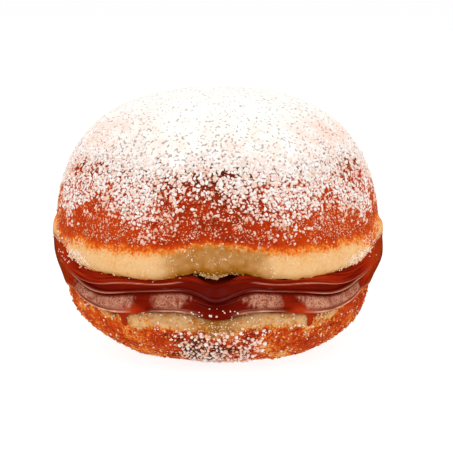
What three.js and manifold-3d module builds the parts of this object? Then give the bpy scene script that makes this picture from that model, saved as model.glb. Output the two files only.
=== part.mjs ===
// A filled, sugar-dusted doughnut, split across its middle: bottom half, filling and top half.
// Millimetres, +Z up. The origin is the centre of the base, and the front faces -Y.
// An angle PHI runs round the doughnut from the front, positive towards +X.

import * as THREE from "three";
import { mergeVertices } from "three/addons/utils/BufferGeometryUtils.js";
import Module from "manifold-3d";

const wasm = await Module();
wasm.setup();

// ---- Driving dimensions, mm --------------------------------------------------------------------

const HEIGHT = 70.3; // base to the top of the sugar
const DOME_RADIUS = 45.1; // browned dome, where it is widest
const BOWL_RADIUS = 42.0; // bottom half, at its rim
const COLLAR_RADIUS = 45.8; // pale ring of the top half, which never touched the oil
const LIP_RADIUS = 41.6; // where the pale ring turns in over the filling
const FLAT_RADIUS = 15.0; // flat spot that the doughnut rests on
const CORE_RADIUS = 17.0; // inside this the two faces against the filling are level
const MIDDLE_RADIUS = 31.0; // a ring between that core and the edge

const EQUATOR = 25.3; // height that the dome's curve is drawn from
const CRUST_LINE = 35.4; // browned crust meets the pale ring of the top half
const LIP_HEIGHT = 28.5; // underside of the top half, at its edge
const RIM_HEIGHT = 18.8; // top of the bottom half, at its edge
const BOWL_EQUATOR = 20.8; // height that the bottom half's curve is drawn from
const CORE_LIP = 27.8; // the faces over and under the filling, near the axis
const CORE_RIM = 18.8;

const DOME_SQUARENESS = 2.65; // superellipse exponents: 2 is an ellipse
const BOWL_SQUARENESS = 2.4;
const DOUGH_WAVE = 0.6; // how far hand shaping leaves the dough off its true round
const FILLING_WAVE = 0.4;
const COLLAR_STEP = 0.6; // how far the pale ring stands out of the crust
const LIP_ROUND = 3.0; // rounding under the pale ring
const RIM_ROUND = 1.6; // rounding at the rim of the bottom half
const BOWL_LEAN = 1.4; // how far the foot of the bottom half leans towards +X
const BOWL_FOOT = 1.7; // and swells out either side of the front
const SUGAR_DEPTH = 0.5; // thickness of the sugar on the crown
const SUGAR_EDGE = 52.5; // mean height of that sugar's lower edge
const SUGAR_FADE = 5; // height over which it thins out
const CROWN = HEIGHT - SUGAR_DEPTH; // base to the top of the crust
const GAP = 0.3; // clearance between two solids

const CLEFT_DEPTH = 2.0; // how far the dough and filling draw in at the middle of the front
const CLEFT_WIDTH = 15; // degrees either side
const HOLLOW_DEPTH = 3.2; // how far the filling shrinks back under the middle of the front
const HOLLOW_DROP = 2.2;
const HOLLOW_WIDTH = 8; // degrees either side
const SHEET_START = 57; // degrees from the front: the ridges of the filling run out here,
const SHEET_END = 124; // and start again here, with a smooth sheet between
const SHEET_BLEND = 10;
const SHEET_STAND = [0.6, 3.7]; // how far that sheet stands out of the bowl at its foot and top
const SHEET_BULGE = 0.6; // how much more of it there is on the +X side

const GRAIN_SIZES = [0.5, 0.85]; // radius of the largest clumps of sugar, which are half sunk in
const DOME_GRAINS = 84;
const DOME_GRAIN_BELT = 11; // height of the belt that they lie in, below the thick sugar
const BOWL_GRAINS = 48;
const BOWL_GRAIN_SPREAD = 34; // degrees either side of the front
const BOWL_GRAIN_HEIGHTS = [2.8, 13.5];
const DRIP_ANGLES = [-36, 35.5]; // runs of filling down the bottom half, degrees from the front
const DRIP_LENGTH = 3.6;
const DRIP_START = 1.6; // height of its root above the rim
const DRIP_WIDTH = 2.6;
const DRIP_DEPTH = 1.1;

const TOP_SEGMENTS = 84;
const FILLING_SEGMENTS = 100;
const BOTTOM_SEGMENTS = 76;
const DOME_RINGS = 16;
const BOWL_RINGS = 9;

// ---- Small helpers -----------------------------------------------------------------------------

const radians = THREE.MathUtils.degToRad;
const smoothstep = THREE.MathUtils.smoothstep;
const lerp = THREE.MathUtils.lerp;

// A smooth hump of height 1 round an angle given in degrees, with its width in degrees.
function hump(phi, centre, width) {
  const turned = THREE.MathUtils.euclideanModulo(phi - radians(centre) + Math.PI, 2 * Math.PI) - Math.PI;
  return Math.exp(-((turned / radians(width)) ** 2));
}

// The same hump on both sides of the front.
function twinHump(phi, centre, width) {
  return hump(phi, centre, width) + hump(phi, -centre, width);
}

// Degrees between an angle and the front, from 0 to 180.
function awayFromFront(phi) {
  return THREE.MathUtils.radToDeg(Math.acos(Math.cos(phi)));
}

function pointAt(radius, phi, z) {
  return new THREE.Vector3(radius * Math.sin(phi), -radius * Math.cos(phi), z);
}

// A superellipse's half-width at a share of its height, from 0 at the widest to 1 at the pole.
function superellipse(share, squareness) {
  return Math.max(0, 1 - Math.abs(share) ** squareness) ** (1 / squareness);
}

// Hand-shaped unevenness of the dough: a few long waves, at most 1 either way.
function unevenness(phi, z) {
  const waves =
    Math.sin(2 * phi + 0.6 + z / 31) +
    0.8 * Math.sin(3 * phi + 2.1 - z / 23) +
    0.6 * Math.sin(5 * phi + 4.0 + z / 12);
  return waves / 2.4;
}

// ---- Heights that vary round the doughnut ------------------------------------------------------

// A hump on both sides of the front with a broad, nearly level top.
function broadHump(phi, centre, width) {
  return Math.exp(-(((awayFromFront(phi) - centre) / width) ** 4));
}

// Underside of the top half at its edge: it sags either side of the front, and a tongue of crumb
// hangs over the hollow.
function lipHeight(phi) {
  return (
    LIP_HEIGHT -
    2.7 * broadHump(phi, 36, 26) -
    0.8 * hump(phi, -1, 4) +
    2.2 * twinHump(phi, 75, 9) -
    1.6 * twinHump(phi, 118, 20) +
    0.9 * twinHump(phi, 148, 11) -
    1.3 * hump(phi, 180, 18)
  );
}

// Where the browned crust of the dome ends.
function crustLine(phi) {
  return (
    CRUST_LINE +
    2.0 * hump(phi, 0, 13) -
    0.5 * twinHump(phi, 32, 16) -
    0.3 * twinHump(phi, 64, 14) +
    1.0 * hump(phi, 27, 11) +
    0.4 * Math.sin(4 * phi + 2.4)
  );
}

// Top of the bottom half at its edge.
function rimHeight(phi) {
  return (
    RIM_HEIGHT -
    1.7 * hump(phi, 0, 9) -
    2.6 * twinHump(phi, 42, 16) +
    0.9 * twinHump(phi, 67, 9) -
    1.0 * twinHump(phi, 115, 14) +
    0.6 * hump(phi, 180, 20)
  );
}

// Lower edge of the thick sugar on the crown: it reaches lowest either side of the front.
function sugarEdge(phi) {
  return (
    SUGAR_EDGE +
    2.3 * twinHump(phi, 54, 22) -
    1.3 * twinHump(phi, 27, 8) +
    0.6 * Math.sin(7 * phi)
  );
}

// Share of the hollow at the front, where the filling sinks away under the top half.
function hollow(phi) {
  return hump(phi, 0, HOLLOW_WIDTH);
}

// The flat-bottomed dent in the front, where dough and filling draw in together.
function cleft(phi) {
  return CLEFT_DEPTH * Math.exp(-((awayFromFront(phi) / CLEFT_WIDTH) ** 6));
}

// Share of the smooth sheet that the filling is at both sides, where the ridges have run out.
function sheet(phi) {
  const away = awayFromFront(phi);
  return (
    smoothstep(away, SHEET_START, SHEET_START + SHEET_BLEND) *
    (1 - smoothstep(away, SHEET_END - SHEET_BLEND, SHEET_END))
  );
}

// The two faces that the filling lies between, level near the axis and following the edge outside.
function upperFace(radius, phi) {
  return lerp(CORE_LIP, lipHeight(phi), smoothstep(radius, CORE_RADIUS, LIP_RADIUS));
}

function lowerFace(radius, phi) {
  return lerp(CORE_RIM, rimHeight(phi), smoothstep(radius, CORE_RADIUS, BOWL_RADIUS - 2));
}

// ---- Profiles ----------------------------------------------------------------------------------

function domeRadius(z, phi) {
  const share = (z - EQUATOR) / (CROWN - EQUATOR);
  return superellipse(share, DOME_SQUARENESS) * (DOME_RADIUS + DOUGH_WAVE * unevenness(phi, z));
}

function bowlRadius(z, phi) {
  const share = 1 - z / BOWL_EQUATOR;
  const swelling = twinHump(phi, 42, 16) + 0.4 * hump(phi, -46, 12);
  return (
    lerp(FLAT_RADIUS, BOWL_RADIUS, superellipse(share, BOWL_SQUARENESS)) +
    DOUGH_WAVE * unevenness(phi + 1.7, z) * smoothstep(z, 0, 8) +
    BOWL_LEAN * (Math.sin(phi) - 0.5) * (1 - smoothstep(z, 3, 13)) +
    BOWL_FOOT * swelling * (1 - smoothstep(z, 0, 6))
  );
}

// A repeatable random draw from 0 to 1.
function drawFrom(seed) {
  let state = seed;
  return () => {
    state = (state + 0x6d2b79f5) | 0;
    let mixed = Math.imul(state ^ (state >>> 15), 1 | state);
    mixed = (mixed + Math.imul(mixed ^ (mixed >>> 7), 61 | mixed)) ^ mixed;
    return ((mixed ^ (mixed >>> 14)) >>> 0) / 4294967296;
  };
}

// A closed solid from rings of [radius, height] functions of phi, listed from the lower pole to
// the upper pole. The poles lie on the axis.
function ringSolid(rings, segments, lowerPole, upperPole) {
  const positions = [];
  const index = [];
  positions.push(0, 0, lowerPole);
  for (const ring of rings) {
    for (let i = 0; i < segments; i += 1) {
      const phi = (2 * Math.PI * i) / segments;
      const [radius, z] = ring(phi);
      positions.push(...pointAt(radius, phi, z).toArray());
    }
  }
  positions.push(0, 0, upperPole);
  const last = positions.length / 3 - 1;
  for (let i = 0; i < segments; i += 1) {
    const next = (i + 1) % segments;
    index.push(0, 1 + next, 1 + i);
    for (let k = 0; k + 1 < rings.length; k += 1) {
      const a = 1 + k * segments;
      const b = a + segments;
      index.push(a + i, a + next, b + next, a + i, b + next, b + i);
    }
    const top = 1 + (rings.length - 1) * segments;
    index.push(top + i, top + next, last);
  }
  const geometry = new THREE.BufferGeometry();
  geometry.setAttribute("position", new THREE.Float32BufferAttribute(positions, 3));
  geometry.setIndex(index);
  return geometry;
}

// ---- The three solids --------------------------------------------------------------------------

function bottomHalfGeometry() {
  const rings = [(phi) => [FLAT_RADIUS, 0]];
  for (let k = 1; k <= BOWL_RINGS; k += 1) {
    // Rings crowd towards the base, where the bowl turns fastest.
    const share = (k / BOWL_RINGS) ** 1.6;
    rings.push((phi) => {
      const z = share * (rimHeight(phi) - RIM_ROUND);
      return [bowlRadius(z, phi), z];
    });
  }
  const edge = (phi) => bowlRadius(rimHeight(phi), phi);
  rings.push((phi) => [edge(phi) - 0.3 * RIM_ROUND, rimHeight(phi) - 0.3 * RIM_ROUND]);
  rings.push((phi) => [edge(phi) - RIM_ROUND, lowerFace(BOWL_RADIUS, phi) - GAP / 2]);
  rings.push((phi) => [MIDDLE_RADIUS, lowerFace(MIDDLE_RADIUS, phi) - GAP / 2]);
  rings.push((phi) => [CORE_RADIUS, lowerFace(CORE_RADIUS, phi) - GAP / 2]);
  return ringSolid(rings, BOTTOM_SEGMENTS, 0, CORE_RIM - GAP / 2);
}

// The filling's edge from bottom to top: [step up the edge, how far it stands out of the bowl].
// A bead at the foot, a full lower lobe, a groove, and two crisp ridges, the upper one at the top.
const FILLING_EDGE = [
  [0.0, 0.4],
  [0.05, 1.6],
  [0.1, 2.0],
  [0.165, 1.4],
  [0.24, 2.4],
  [0.38, 2.1],
  [0.5, 1.2],
  [0.56, 2.1],
  [0.6, 2.0],
  [0.69, 1.2],
  [0.8, 1.3],
  [0.857, 2.2],
  [0.93, 2.1],
  [1.0, 1.6],
];
const RIDGE_STEP = 0.56;
const CREST_STEP = 0.857;

// Where the lower and the upper ridge run, as shares of the filling's height.
function ridgeShare(phi) {
  const back = twinHump(phi, 136, 9) + twinHump(phi, 166, 9);
  return 0.54 + 0.225 * broadHump(phi, 21, 14) + 0.07 * back;
}

function crestShare(phi) {
  const away = awayFromFront(phi);
  const back = 0.17 * smoothstep(away, 120, 136) + 0.07 * twinHump(phi, 136, 9);
  return 0.66 + 0.31 * Math.exp(-((away / 44) ** 6)) + back + 0.1 * twinHump(phi, 166, 9);
}

// Share of the filling's height at a step up its edge: the ridges stay on their lines.
function shareOfStep(step, phi) {
  const ridge = ridgeShare(phi);
  const crest = Math.max(crestShare(phi), ridge + 0.08);
  if (step <= RIDGE_STEP) {
    return (ridge * step) / RIDGE_STEP;
  }
  if (step <= CREST_STEP) {
    return lerp(ridge, crest, (step - RIDGE_STEP) / (CREST_STEP - RIDGE_STEP));
  }
  return lerp(crest, 1, (step - CREST_STEP) / (1 - CREST_STEP));
}

function fillingStand(share, stand, phi) {
  const bulge = SHEET_BULGE * Math.sin(Math.PI * share) * Math.max(Math.sin(phi), 0);
  const sheetStand = lerp(...SHEET_STAND, 1 - (1 - share) ** 2) + bulge;
  const drawnIn = cleft(phi) * lerp(0.25, 1.0, smoothstep(share, 0.1, 0.6));
  return lerp(stand, sheetStand, sheet(phi)) - drawnIn + FILLING_WAVE * unevenness(phi, 20 * share);
}

// The pale ring's rounding is tight where the sheet of filling swells up against it.
function lipRound(phi) {
  return LIP_ROUND * (1 - 0.6 * sheet(phi));
}

// How far the filling's top edge rises to follow that rounding, except over the hollow.
function topRise(stand, phi) {
  const out = (BOWL_RADIUS + stand + cleft(phi) - LIP_RADIUS) / (COLLAR_RADIUS - LIP_RADIUS);
  const rounding = lipRound(phi) * (1 - Math.sqrt(1 - THREE.MathUtils.clamp(out, 0, 0.9) ** 2));
  return Math.min(rounding, 0.6) * (1 - hollow(phi));
}

function fillingGeometry() {
  const foot = (phi) => rimHeight(phi) + GAP / 2 - 0.2;
  const crown = (phi) => lipHeight(phi) - GAP / 2 - HOLLOW_DROP * hollow(phi);
  const rings = [
    (phi) => [CORE_RADIUS, lowerFace(CORE_RADIUS, phi) + GAP / 2],
    (phi) => [MIDDLE_RADIUS, lowerFace(MIDDLE_RADIUS, phi) + GAP / 2],
    (phi) => [BOWL_RADIUS - 2, lowerFace(BOWL_RADIUS, phi) + GAP / 2],
  ];
  for (const [step, stand] of FILLING_EDGE) {
    rings.push((phi) => {
      const share = shareOfStep(step, phi);
      const out = fillingStand(share, stand, phi);
      const rise = topRise(out, phi) * smoothstep(share, 0.8, 1);
      return [BOWL_RADIUS + out, lerp(foot(phi), crown(phi), share) + rise];
    });
  }
  rings.push((phi) => [LIP_RADIUS - 1 - HOLLOW_DEPTH * hollow(phi), crown(phi)]);
  rings.push((phi) => [MIDDLE_RADIUS, upperFace(MIDDLE_RADIUS, phi) - GAP / 2]);
  rings.push((phi) => [CORE_RADIUS, upperFace(CORE_RADIUS, phi) - GAP / 2]);
  return ringSolid(rings, FILLING_SEGMENTS, CORE_RIM + GAP / 2, CORE_LIP - GAP / 2);
}

function topHalfGeometry() {
  const collarRadius = (phi) => COLLAR_RADIUS + FILLING_WAVE * unevenness(phi, 0);
  const rings = [
    (phi) => [CORE_RADIUS, upperFace(CORE_RADIUS, phi) + GAP / 2],
    (phi) => [MIDDLE_RADIUS, upperFace(MIDDLE_RADIUS, phi) + GAP / 2],
    (phi) => [LIP_RADIUS - 1, upperFace(LIP_RADIUS, phi) + GAP / 2],
  ];
  // The pale ring: a quarter turn out of the lip, then nearly upright to the crust.
  for (const turn of [0.3, 0.6, 0.85, 1]) {
    const angle = (turn * Math.PI) / 2;
    rings.push((phi) => [
      lerp(LIP_RADIUS, collarRadius(phi), Math.sin(angle)) - cleft(phi),
      lipHeight(phi) + GAP / 2 + lipRound(phi) * (1 - Math.cos(angle)),
    ]);
  }
  rings.push((phi) => [
    collarRadius(phi) - 0.8 * cleft(phi),
    lerp(lipHeight(phi) + lipRound(phi), crustLine(phi), 0.55),
  ]);
  rings.push((phi) => [
    domeRadius(crustLine(phi), phi) + COLLAR_STEP - 0.4 * cleft(phi),
    crustLine(phi) - 0.8,
  ]);
  for (let k = 0; k < DOME_RINGS; k += 1) {
    // Equal turns of the curve from the crust line up to a small ring round the crown.
    const turn = Math.sin((Math.PI / 2) * (k / (DOME_RINGS - 0.35)));
    rings.push((phi) => {
      const z = lerp(crustLine(phi) + 0.6, CROWN, turn);
      const sugar = SUGAR_DEPTH * smoothstep(z, sugarEdge(phi), sugarEdge(phi) + SUGAR_FADE);
      return [domeRadius(z, phi) + sugar * (1 - turn), z + sugar * turn];
    });
  }
  return ringSolid(rings, TOP_SEGMENTS, CORE_LIP + GAP / 2, HEIGHT);
}

// ---- What is fused on ---------------------------------------------------------------------------

function toSolid(geometry) {
  const bare = new THREE.BufferGeometry();
  bare.setAttribute("position", geometry.getAttribute("position"));
  bare.setIndex(geometry.index);
  const merged = mergeVertices(bare, 1e-4);
  return new wasm.Manifold(
    new wasm.Mesh({
      numProp: 3,
      vertProperties: merged.attributes.position.array,
      triVerts: new Uint32Array(merged.index.array),
    }),
  );
}

function toGeometry(solid) {
  const made = solid.getMesh();
  const geometry = new THREE.BufferGeometry();
  geometry.setAttribute("position", new THREE.BufferAttribute(made.vertProperties, 3));
  geometry.setIndex(new THREE.BufferAttribute(made.triVerts, 1));
  return geometry;
}

function fuse(geometry, additions) {
  const joined = additions.reduce((whole, piece) => whole.add(toSolid(piece)), toSolid(geometry));
  return toGeometry(joined);
}

// A clump of sugar: an uneven eight-sided lump, turned at random.
function grainGeometry(centre, draw) {
  const size = () => lerp(...GRAIN_SIZES, draw());
  const grain = new THREE.OctahedronGeometry(1, 0);
  grain.scale(size(), size(), size());
  grain.rotateX(draw() * Math.PI);
  grain.rotateZ(draw() * Math.PI);
  grain.translate(...centre.toArray());
  return grain;
}

// Clumps on a wall, at heights and angles that a rule gives for each one's number.
function grains(count, seed, wall, placeOf) {
  const draw = drawFrom(seed);
  return Array.from({ length: count }, (_, i) => {
    const [phi, z] = placeOf(i, draw);
    return grainGeometry(pointAt(wall(z, phi), phi, z), draw);
  });
}

const GOLDEN_TURN = Math.PI * (3 - Math.sqrt(5)); // even spacing round a circle
const GOLDEN_SHARE = (Math.sqrt(5) - 1) / 2; // and along a line

// On the dome the clumps go all the way round, closest together just below the thick sugar.
function domeGrains() {
  return grains(DOME_GRAINS, 11, domeRadius, (i, draw) => {
    const phi = i * GOLDEN_TURN;
    const below = DOME_GRAIN_BELT * ((i + draw()) / DOME_GRAINS) ** 1.5;
    return [phi, sugarEdge(phi) + 1 - below];
  });
}

// On the bottom half they lie in a drift below the front of the filling.
function bowlGrains() {
  return grains(BOWL_GRAINS, 29, bowlRadius, (i, draw) => {
    const across = ((i * GOLDEN_SHARE) % 1) * 2 - 1;
    const up = (i + draw()) / BOWL_GRAINS;
    return [radians(BOWL_GRAIN_SPREAD * across), lerp(...BOWL_GRAIN_HEIGHTS, up)];
  });
}

// A run of filling that hangs from the bead and lies close to the wall of the bottom half.
function dripGeometry(degreesFromFront) {
  const middle = radians(degreesFromFront);
  const start = rimHeight(middle) + DRIP_START;
  const sides = 10;
  const steps = 7;
  const rings = [];
  for (let k = 0; k <= steps; k += 1) {
    const along = 1 - k / steps;
    const z = start - along * (DRIP_LENGTH + DRIP_START);
    // The run narrows below the bead and swells again to a drop at its foot.
    const swell = along < 1 ? 1 - 0.35 * Math.sin(Math.PI * along) : 0.45;
    const wall = Math.max(bowlRadius(Math.min(z, rimHeight(middle)), middle), bowlRadius(z, middle));
    rings.push({ z, wall, halfWidth: (DRIP_WIDTH / 2) * swell, depth: DRIP_DEPTH * swell });
  }
  const positions = [];
  const index = [];
  for (const { z, wall, halfWidth, depth } of rings) {
    for (let i = 0; i < sides; i += 1) {
      const turn = (2 * Math.PI * i) / sides;
      const radius = wall + GAP + 0.1 + (depth / 2) * (1 + Math.cos(turn));
      const phi = middle + (halfWidth * Math.sin(turn)) / wall;
      positions.push(...pointAt(radius, phi, z).toArray());
    }
  }
  const ends = [rings[0], rings[steps]].map(({ z, wall, depth }) => {
    positions.push(...pointAt(wall + GAP + 0.1 + depth / 2, middle, z).toArray());
    return positions.length / 3 - 1;
  });
  for (let i = 0; i < sides; i += 1) {
    const next = (i + 1) % sides;
    index.push(ends[0], next, i);
    for (let k = 0; k < steps; k += 1) {
      const a = k * sides;
      const b = a + sides;
      index.push(a + i, a + next, b + next, a + i, b + next, b + i);
    }
    index.push(steps * sides + i, steps * sides + next, ends[1]);
  }
  const geometry = new THREE.BufferGeometry();
  geometry.setAttribute("position", new THREE.Float32BufferAttribute(positions, 3));
  geometry.setIndex(index);
  return geometry;
}

// ---- Materials ---------------------------------------------------------------------------------

const topCrust = new THREE.MeshStandardMaterial({ color: 0xc8692b, roughness: 0.62, metalness: 0 });
const bottomCrust = new THREE.MeshStandardMaterial({ color: 0xbd6328, roughness: 0.65, metalness: 0 });
const caramel = new THREE.MeshStandardMaterial({ color: 0x8a2b0d, roughness: 0.2, metalness: 0 });

// ---- Assembly ----------------------------------------------------------------------------------

function named(name, geometry, material) {
  geometry.computeVertexNormals();
  const mesh = new THREE.Mesh(geometry, material);
  mesh.name = name;
  return mesh;
}

const doughnut = new THREE.Group();
doughnut.name = "filled_doughnut";
doughnut.add(
  named("bottom_half", fuse(bottomHalfGeometry(), bowlGrains()), bottomCrust),
  named("filling", fuse(fillingGeometry(), DRIP_ANGLES.map(dripGeometry)), caramel),
  named("top_half", fuse(topHalfGeometry(), domeGrains()), topCrust),
);

export default doughnut;
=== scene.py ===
"""A filled, sugar-dusted doughnut, laid out as an add-on: one operator for each group of pieces.

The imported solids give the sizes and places. Shapes are worked out in millimetres, with +Z up and
the front towards -Y, and are made into meshes in metres. An angle phi runs round the doughnut from
the front, positive towards +X.
"""

import itertools
import math

import bpy
import numpy as np
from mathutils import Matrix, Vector


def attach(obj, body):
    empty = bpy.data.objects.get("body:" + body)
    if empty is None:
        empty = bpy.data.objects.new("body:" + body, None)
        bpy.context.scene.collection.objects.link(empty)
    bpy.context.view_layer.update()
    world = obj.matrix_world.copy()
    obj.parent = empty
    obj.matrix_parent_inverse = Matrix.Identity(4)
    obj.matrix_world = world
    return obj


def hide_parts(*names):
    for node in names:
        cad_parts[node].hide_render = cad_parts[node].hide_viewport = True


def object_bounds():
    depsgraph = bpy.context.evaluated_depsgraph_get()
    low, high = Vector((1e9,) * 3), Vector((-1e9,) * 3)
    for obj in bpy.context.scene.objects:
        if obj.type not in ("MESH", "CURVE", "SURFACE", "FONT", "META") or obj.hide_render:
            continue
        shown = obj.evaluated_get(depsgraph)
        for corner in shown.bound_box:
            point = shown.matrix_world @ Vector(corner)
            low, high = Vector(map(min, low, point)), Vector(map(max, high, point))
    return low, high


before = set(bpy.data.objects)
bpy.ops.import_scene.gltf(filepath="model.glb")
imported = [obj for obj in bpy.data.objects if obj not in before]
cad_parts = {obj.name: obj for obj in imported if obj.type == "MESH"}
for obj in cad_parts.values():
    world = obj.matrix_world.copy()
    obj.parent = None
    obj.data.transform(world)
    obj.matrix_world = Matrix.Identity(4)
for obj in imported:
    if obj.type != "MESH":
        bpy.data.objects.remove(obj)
CAD_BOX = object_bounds()

bl_info = {
    "name": "Filled Doughnut",
    "version": (1, 0, 0),
    "blender": (4, 5, 0),
    "location": "3D View > Sidebar > Doughnut",
    "description": "Builds a filled doughnut under icing sugar round its packed solids",
    "category": "Add Mesh",
}

MM = 0.001  # metres in a millimetre
BODY = "root"

# ---- Sizes of the dough and filling, mm and degrees ----

# Radii. The collar is the pale ring over the filling, and the core is where the inside is level.
DOME_RADIUS = 44.85
BOWL_RADIUS = 42.0
RIM_RADIUS = BOWL_RADIUS - 2
COLLAR_RADIUS = 45.8
LIP_RADIUS = 41.6
FLAT_RADIUS = 15.0
CORE_RADIUS = 17.0
MIDDLE_RADIUS = 31.0

# Heights. The lip is the edge of the top half, and the rim is that of the bottom half.
EQUATOR = 25.3
CRUST_LINE = 35.4
LIP_HEIGHT = 28.5
RIM_HEIGHT = 18.8
BOWL_EQUATOR = 20.8
CORE_LIP = 27.8
CORE_RIM = 18.8

DOME_SQUARENESS = 2.65
BOWL_SQUARENESS = 2.4
DOUGH_WAVE = 0.6
FILLING_WAVE = 0.4
COLLAR_STEP = 0.6  # how far the collar stands out of the crust
LIP_ROUND = 3.0
RIM_ROUND = 1.6
BOWL_LEAN = 1.4  # how far the bowl's foot is shifted towards +X
BOWL_FOOT = 1.7  # how far the foot stands out at both sides of the front
SUGAR_DEPTH = 0.5
BED_EDGE = 55.0  # height where the closed bed of sugar begins
BED_FADE = 7.0
GRAINS_FOOT = 35.0
GRAINS_COVER = 0.68  # share of the dough that lumps of sugar cover in their belt
GAP = 0.3  # between the pieces, each of which is set back by half of it

# The front: a cleft in the collar and the filling, and a narrower hollow at the filling's top.
CLEFT_DEPTH = 2.0
CLEFT_WIDTH = 15
HOLLOW_DEPTH = 3.2
HOLLOW_DROP = 2.2
HOLLOW_WIDTH = 8
MIDDLE_WIDTH = 10
# The smooth sheet of filling at both sides.
SHEET_START = 57
SHEET_END = 124
SHEET_BLEND = 10
SHEET_BULGE = 0.6
# The short runs of filling down the bottom half.
DRIP_ANGLES = (-36, 35.5)
DRIP_LENGTH = 3.6
DRIP_SPREAD = 1.5
DRIP_OVERLAP = 1.6  # how far a run starts above the rim
SINK = 0.2  # how far the filling's foot and its runs go into the dough

HEIGHT = CAD_BOX[1].z / MM
CROWN = HEIGHT - SUGAR_DEPTH

# The filling's edge from bottom to top: (step up the edge, how far it stands out of the bowl).
FILLING_EDGE = (
    (0.0, 0.2), (0.025, 1.1), (0.065, 1.85), (0.105, 2.05), (0.14, 1.75), (0.165, 1.4), (0.19, 1.9),
    (0.235, 2.4), (0.3, 2.35), (0.37, 2.1), (0.44, 1.75), (0.49, 1.3), (0.515, 1.15), (0.54, 1.7),
    (0.565, 2.2), (0.59, 2.15), (0.625, 1.65), (0.67, 1.3), (0.74, 1.15), (0.8, 1.3), (0.835, 1.8),
    (0.857, 2.2), (0.88, 2.2), (0.92, 2.2), (0.96, 2.2), (1.0, 1.9),
)
# How far the lower lobe stands out where it is pinched, and the sheet at its foot and its top.
LOBE_STAND = 1.75
SHEET_STAND = (0.6, 3.7)
# The steps of the groove over the bead and the two ridges, and the groove's share of the height.
BEAD_STEP, RIDGE_STEP, CREST_STEP = 0.165, 0.56, 0.857
BEAD_SHARE = 0.155
# Where the two ridges run: (degrees from the front, share of the filling's height).
RIDGE_LINE = (
    (0, 0.56), (4, 0.56), (9, 0.63), (13, 0.73), (20, 0.765), (28, 0.72), (34, 0.65), (38, 0.6),
    (44, 0.535), (50, 0.53), (60, 0.55), (120, 0.5), (136, 0.6), (150, 0.52), (166, 0.6), (180, 0.55),
)
CREST_LINE = (
    (0, 0.9), (6, 0.9), (10, 0.94), (14, 0.97), (30, 0.97), (38, 0.9), (45, 0.77), (50, 0.71),
    (57, 0.64), (62, 0.63), (120, 0.68), (136, 0.9), (150, 0.8), (166, 0.93), (180, 0.85),
)
# Where the lower lobe has a painted reflection, pale and finely pitted: degrees from the front at both
# ends.
REFLECTION_ARCS = ((26, 61), (7, 23), (120, 138), (143, 157), (161, 182))
DRAG_LENGTH = 14  # length of the drag lines round the doughnut
DRAG_STEP = 0.42  # distance between them up the side

# Fineness of the meshes: points round a ring, rings on a half and distances in mm.
SEGMENTS = 720
BOWL_SEGMENTS = 560
DOME_RINGS = 24
BOWL_RINGS = 14
FILLING_SPACING = 0.13
CAP_SPACING = 0.36
ROW_STEP = 0.866  # distance between rows of a net of triangles with sides of 1
JITTER = 0.7

# How many small things are tried besides those that the settings count, and where crumbs are
# heaped: degrees from the front, at both sides.
FINE_CLUMPS = 1500
CRUST_CRUMBS = 6000
HEAPED_CRUMBS, HEAP_ANGLE = 130, 55
SHREDS = 70

# ---- Curves ----


def lerp(a, b, t):
    return a + (b - a) * t


def smoothstep(x, low, high):
    t = np.clip((x - low) / (high - low), 0, 1)
    return t * t * (3 - 2 * t)


def bell(x, centre, width, power=2):
    """A bump of height 1 round a centre, with a flatter top and steeper sides at a higher power."""
    return np.exp(-(((x - centre) / width) ** power))


def hump(phi, centre, width):
    """A bump of height 1 round an angle in degrees."""
    turned = np.mod(phi - np.radians(centre) + np.pi, 2 * np.pi) - np.pi
    return bell(turned, 0, np.radians(width))


def twins(phi, centre, width):
    """The same bump on both sides of the front."""
    return hump(phi, centre, width) + hump(phi, -centre, width)


def from_front(phi):
    """Degrees between an angle and the front, from 0 to 180."""
    return np.degrees(np.arccos(np.cos(phi)))


def superellipse(share, squareness):
    """A rounded profile: 1 at share 0 and 0 at share 1, boxier at a higher squareness."""
    return np.maximum(0, 1 - np.abs(share) ** squareness) ** (1 / squareness)


def unevenness(phi, z):
    """Slow waves round the doughnut, from -1 to 1, that shift with height."""
    waves = (
        np.sin(2 * phi + 0.6 + z / 31)
        + 0.8 * np.sin(3 * phi + 2.1 - z / 23)
        + 0.6 * np.sin(5 * phi + 4.0 + z / 12)
    )
    return waves / 2.4


def lip_height(phi):
    """Underside of the top half at its edge."""
    away = from_front(phi)
    return (
        LIP_HEIGHT
        - 2.7 * bell(away, 36, 26, 4)
        - 0.8 * hump(phi, -1, 4)
        + 2.2 * bell(away, 73.5, 11.5, 6)
        - 1.6 * twins(phi, 118, 20)
        + 0.9 * twins(phi, 148, 11)
        - 1.3 * hump(phi, 180, 18)
    )


def crust_line(phi):
    """Where the browned crust of the dome ends."""
    return (
        CRUST_LINE
        + 2.0 * hump(phi, 0, 13)
        - 0.5 * twins(phi, 32, 16)
        - 1.8 * twins(phi, 64, 6)
        + 2.0 * twins(phi, 80, 8)
        + 1.0 * hump(phi, 27, 11)
        + 0.4 * np.sin(4 * phi + 2.4)
    )


def rim_height(phi):
    """Top of the bottom half at its edge."""
    return (
        RIM_HEIGHT
        - 1.7 * hump(phi, 0, 9)
        - 2.6 * twins(phi, 42, 16)
        + 0.9 * twins(phi, 67, 9)
        - 1.0 * twins(phi, 115, 14)
        + 0.6 * hump(phi, 180, 20)
    )


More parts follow.
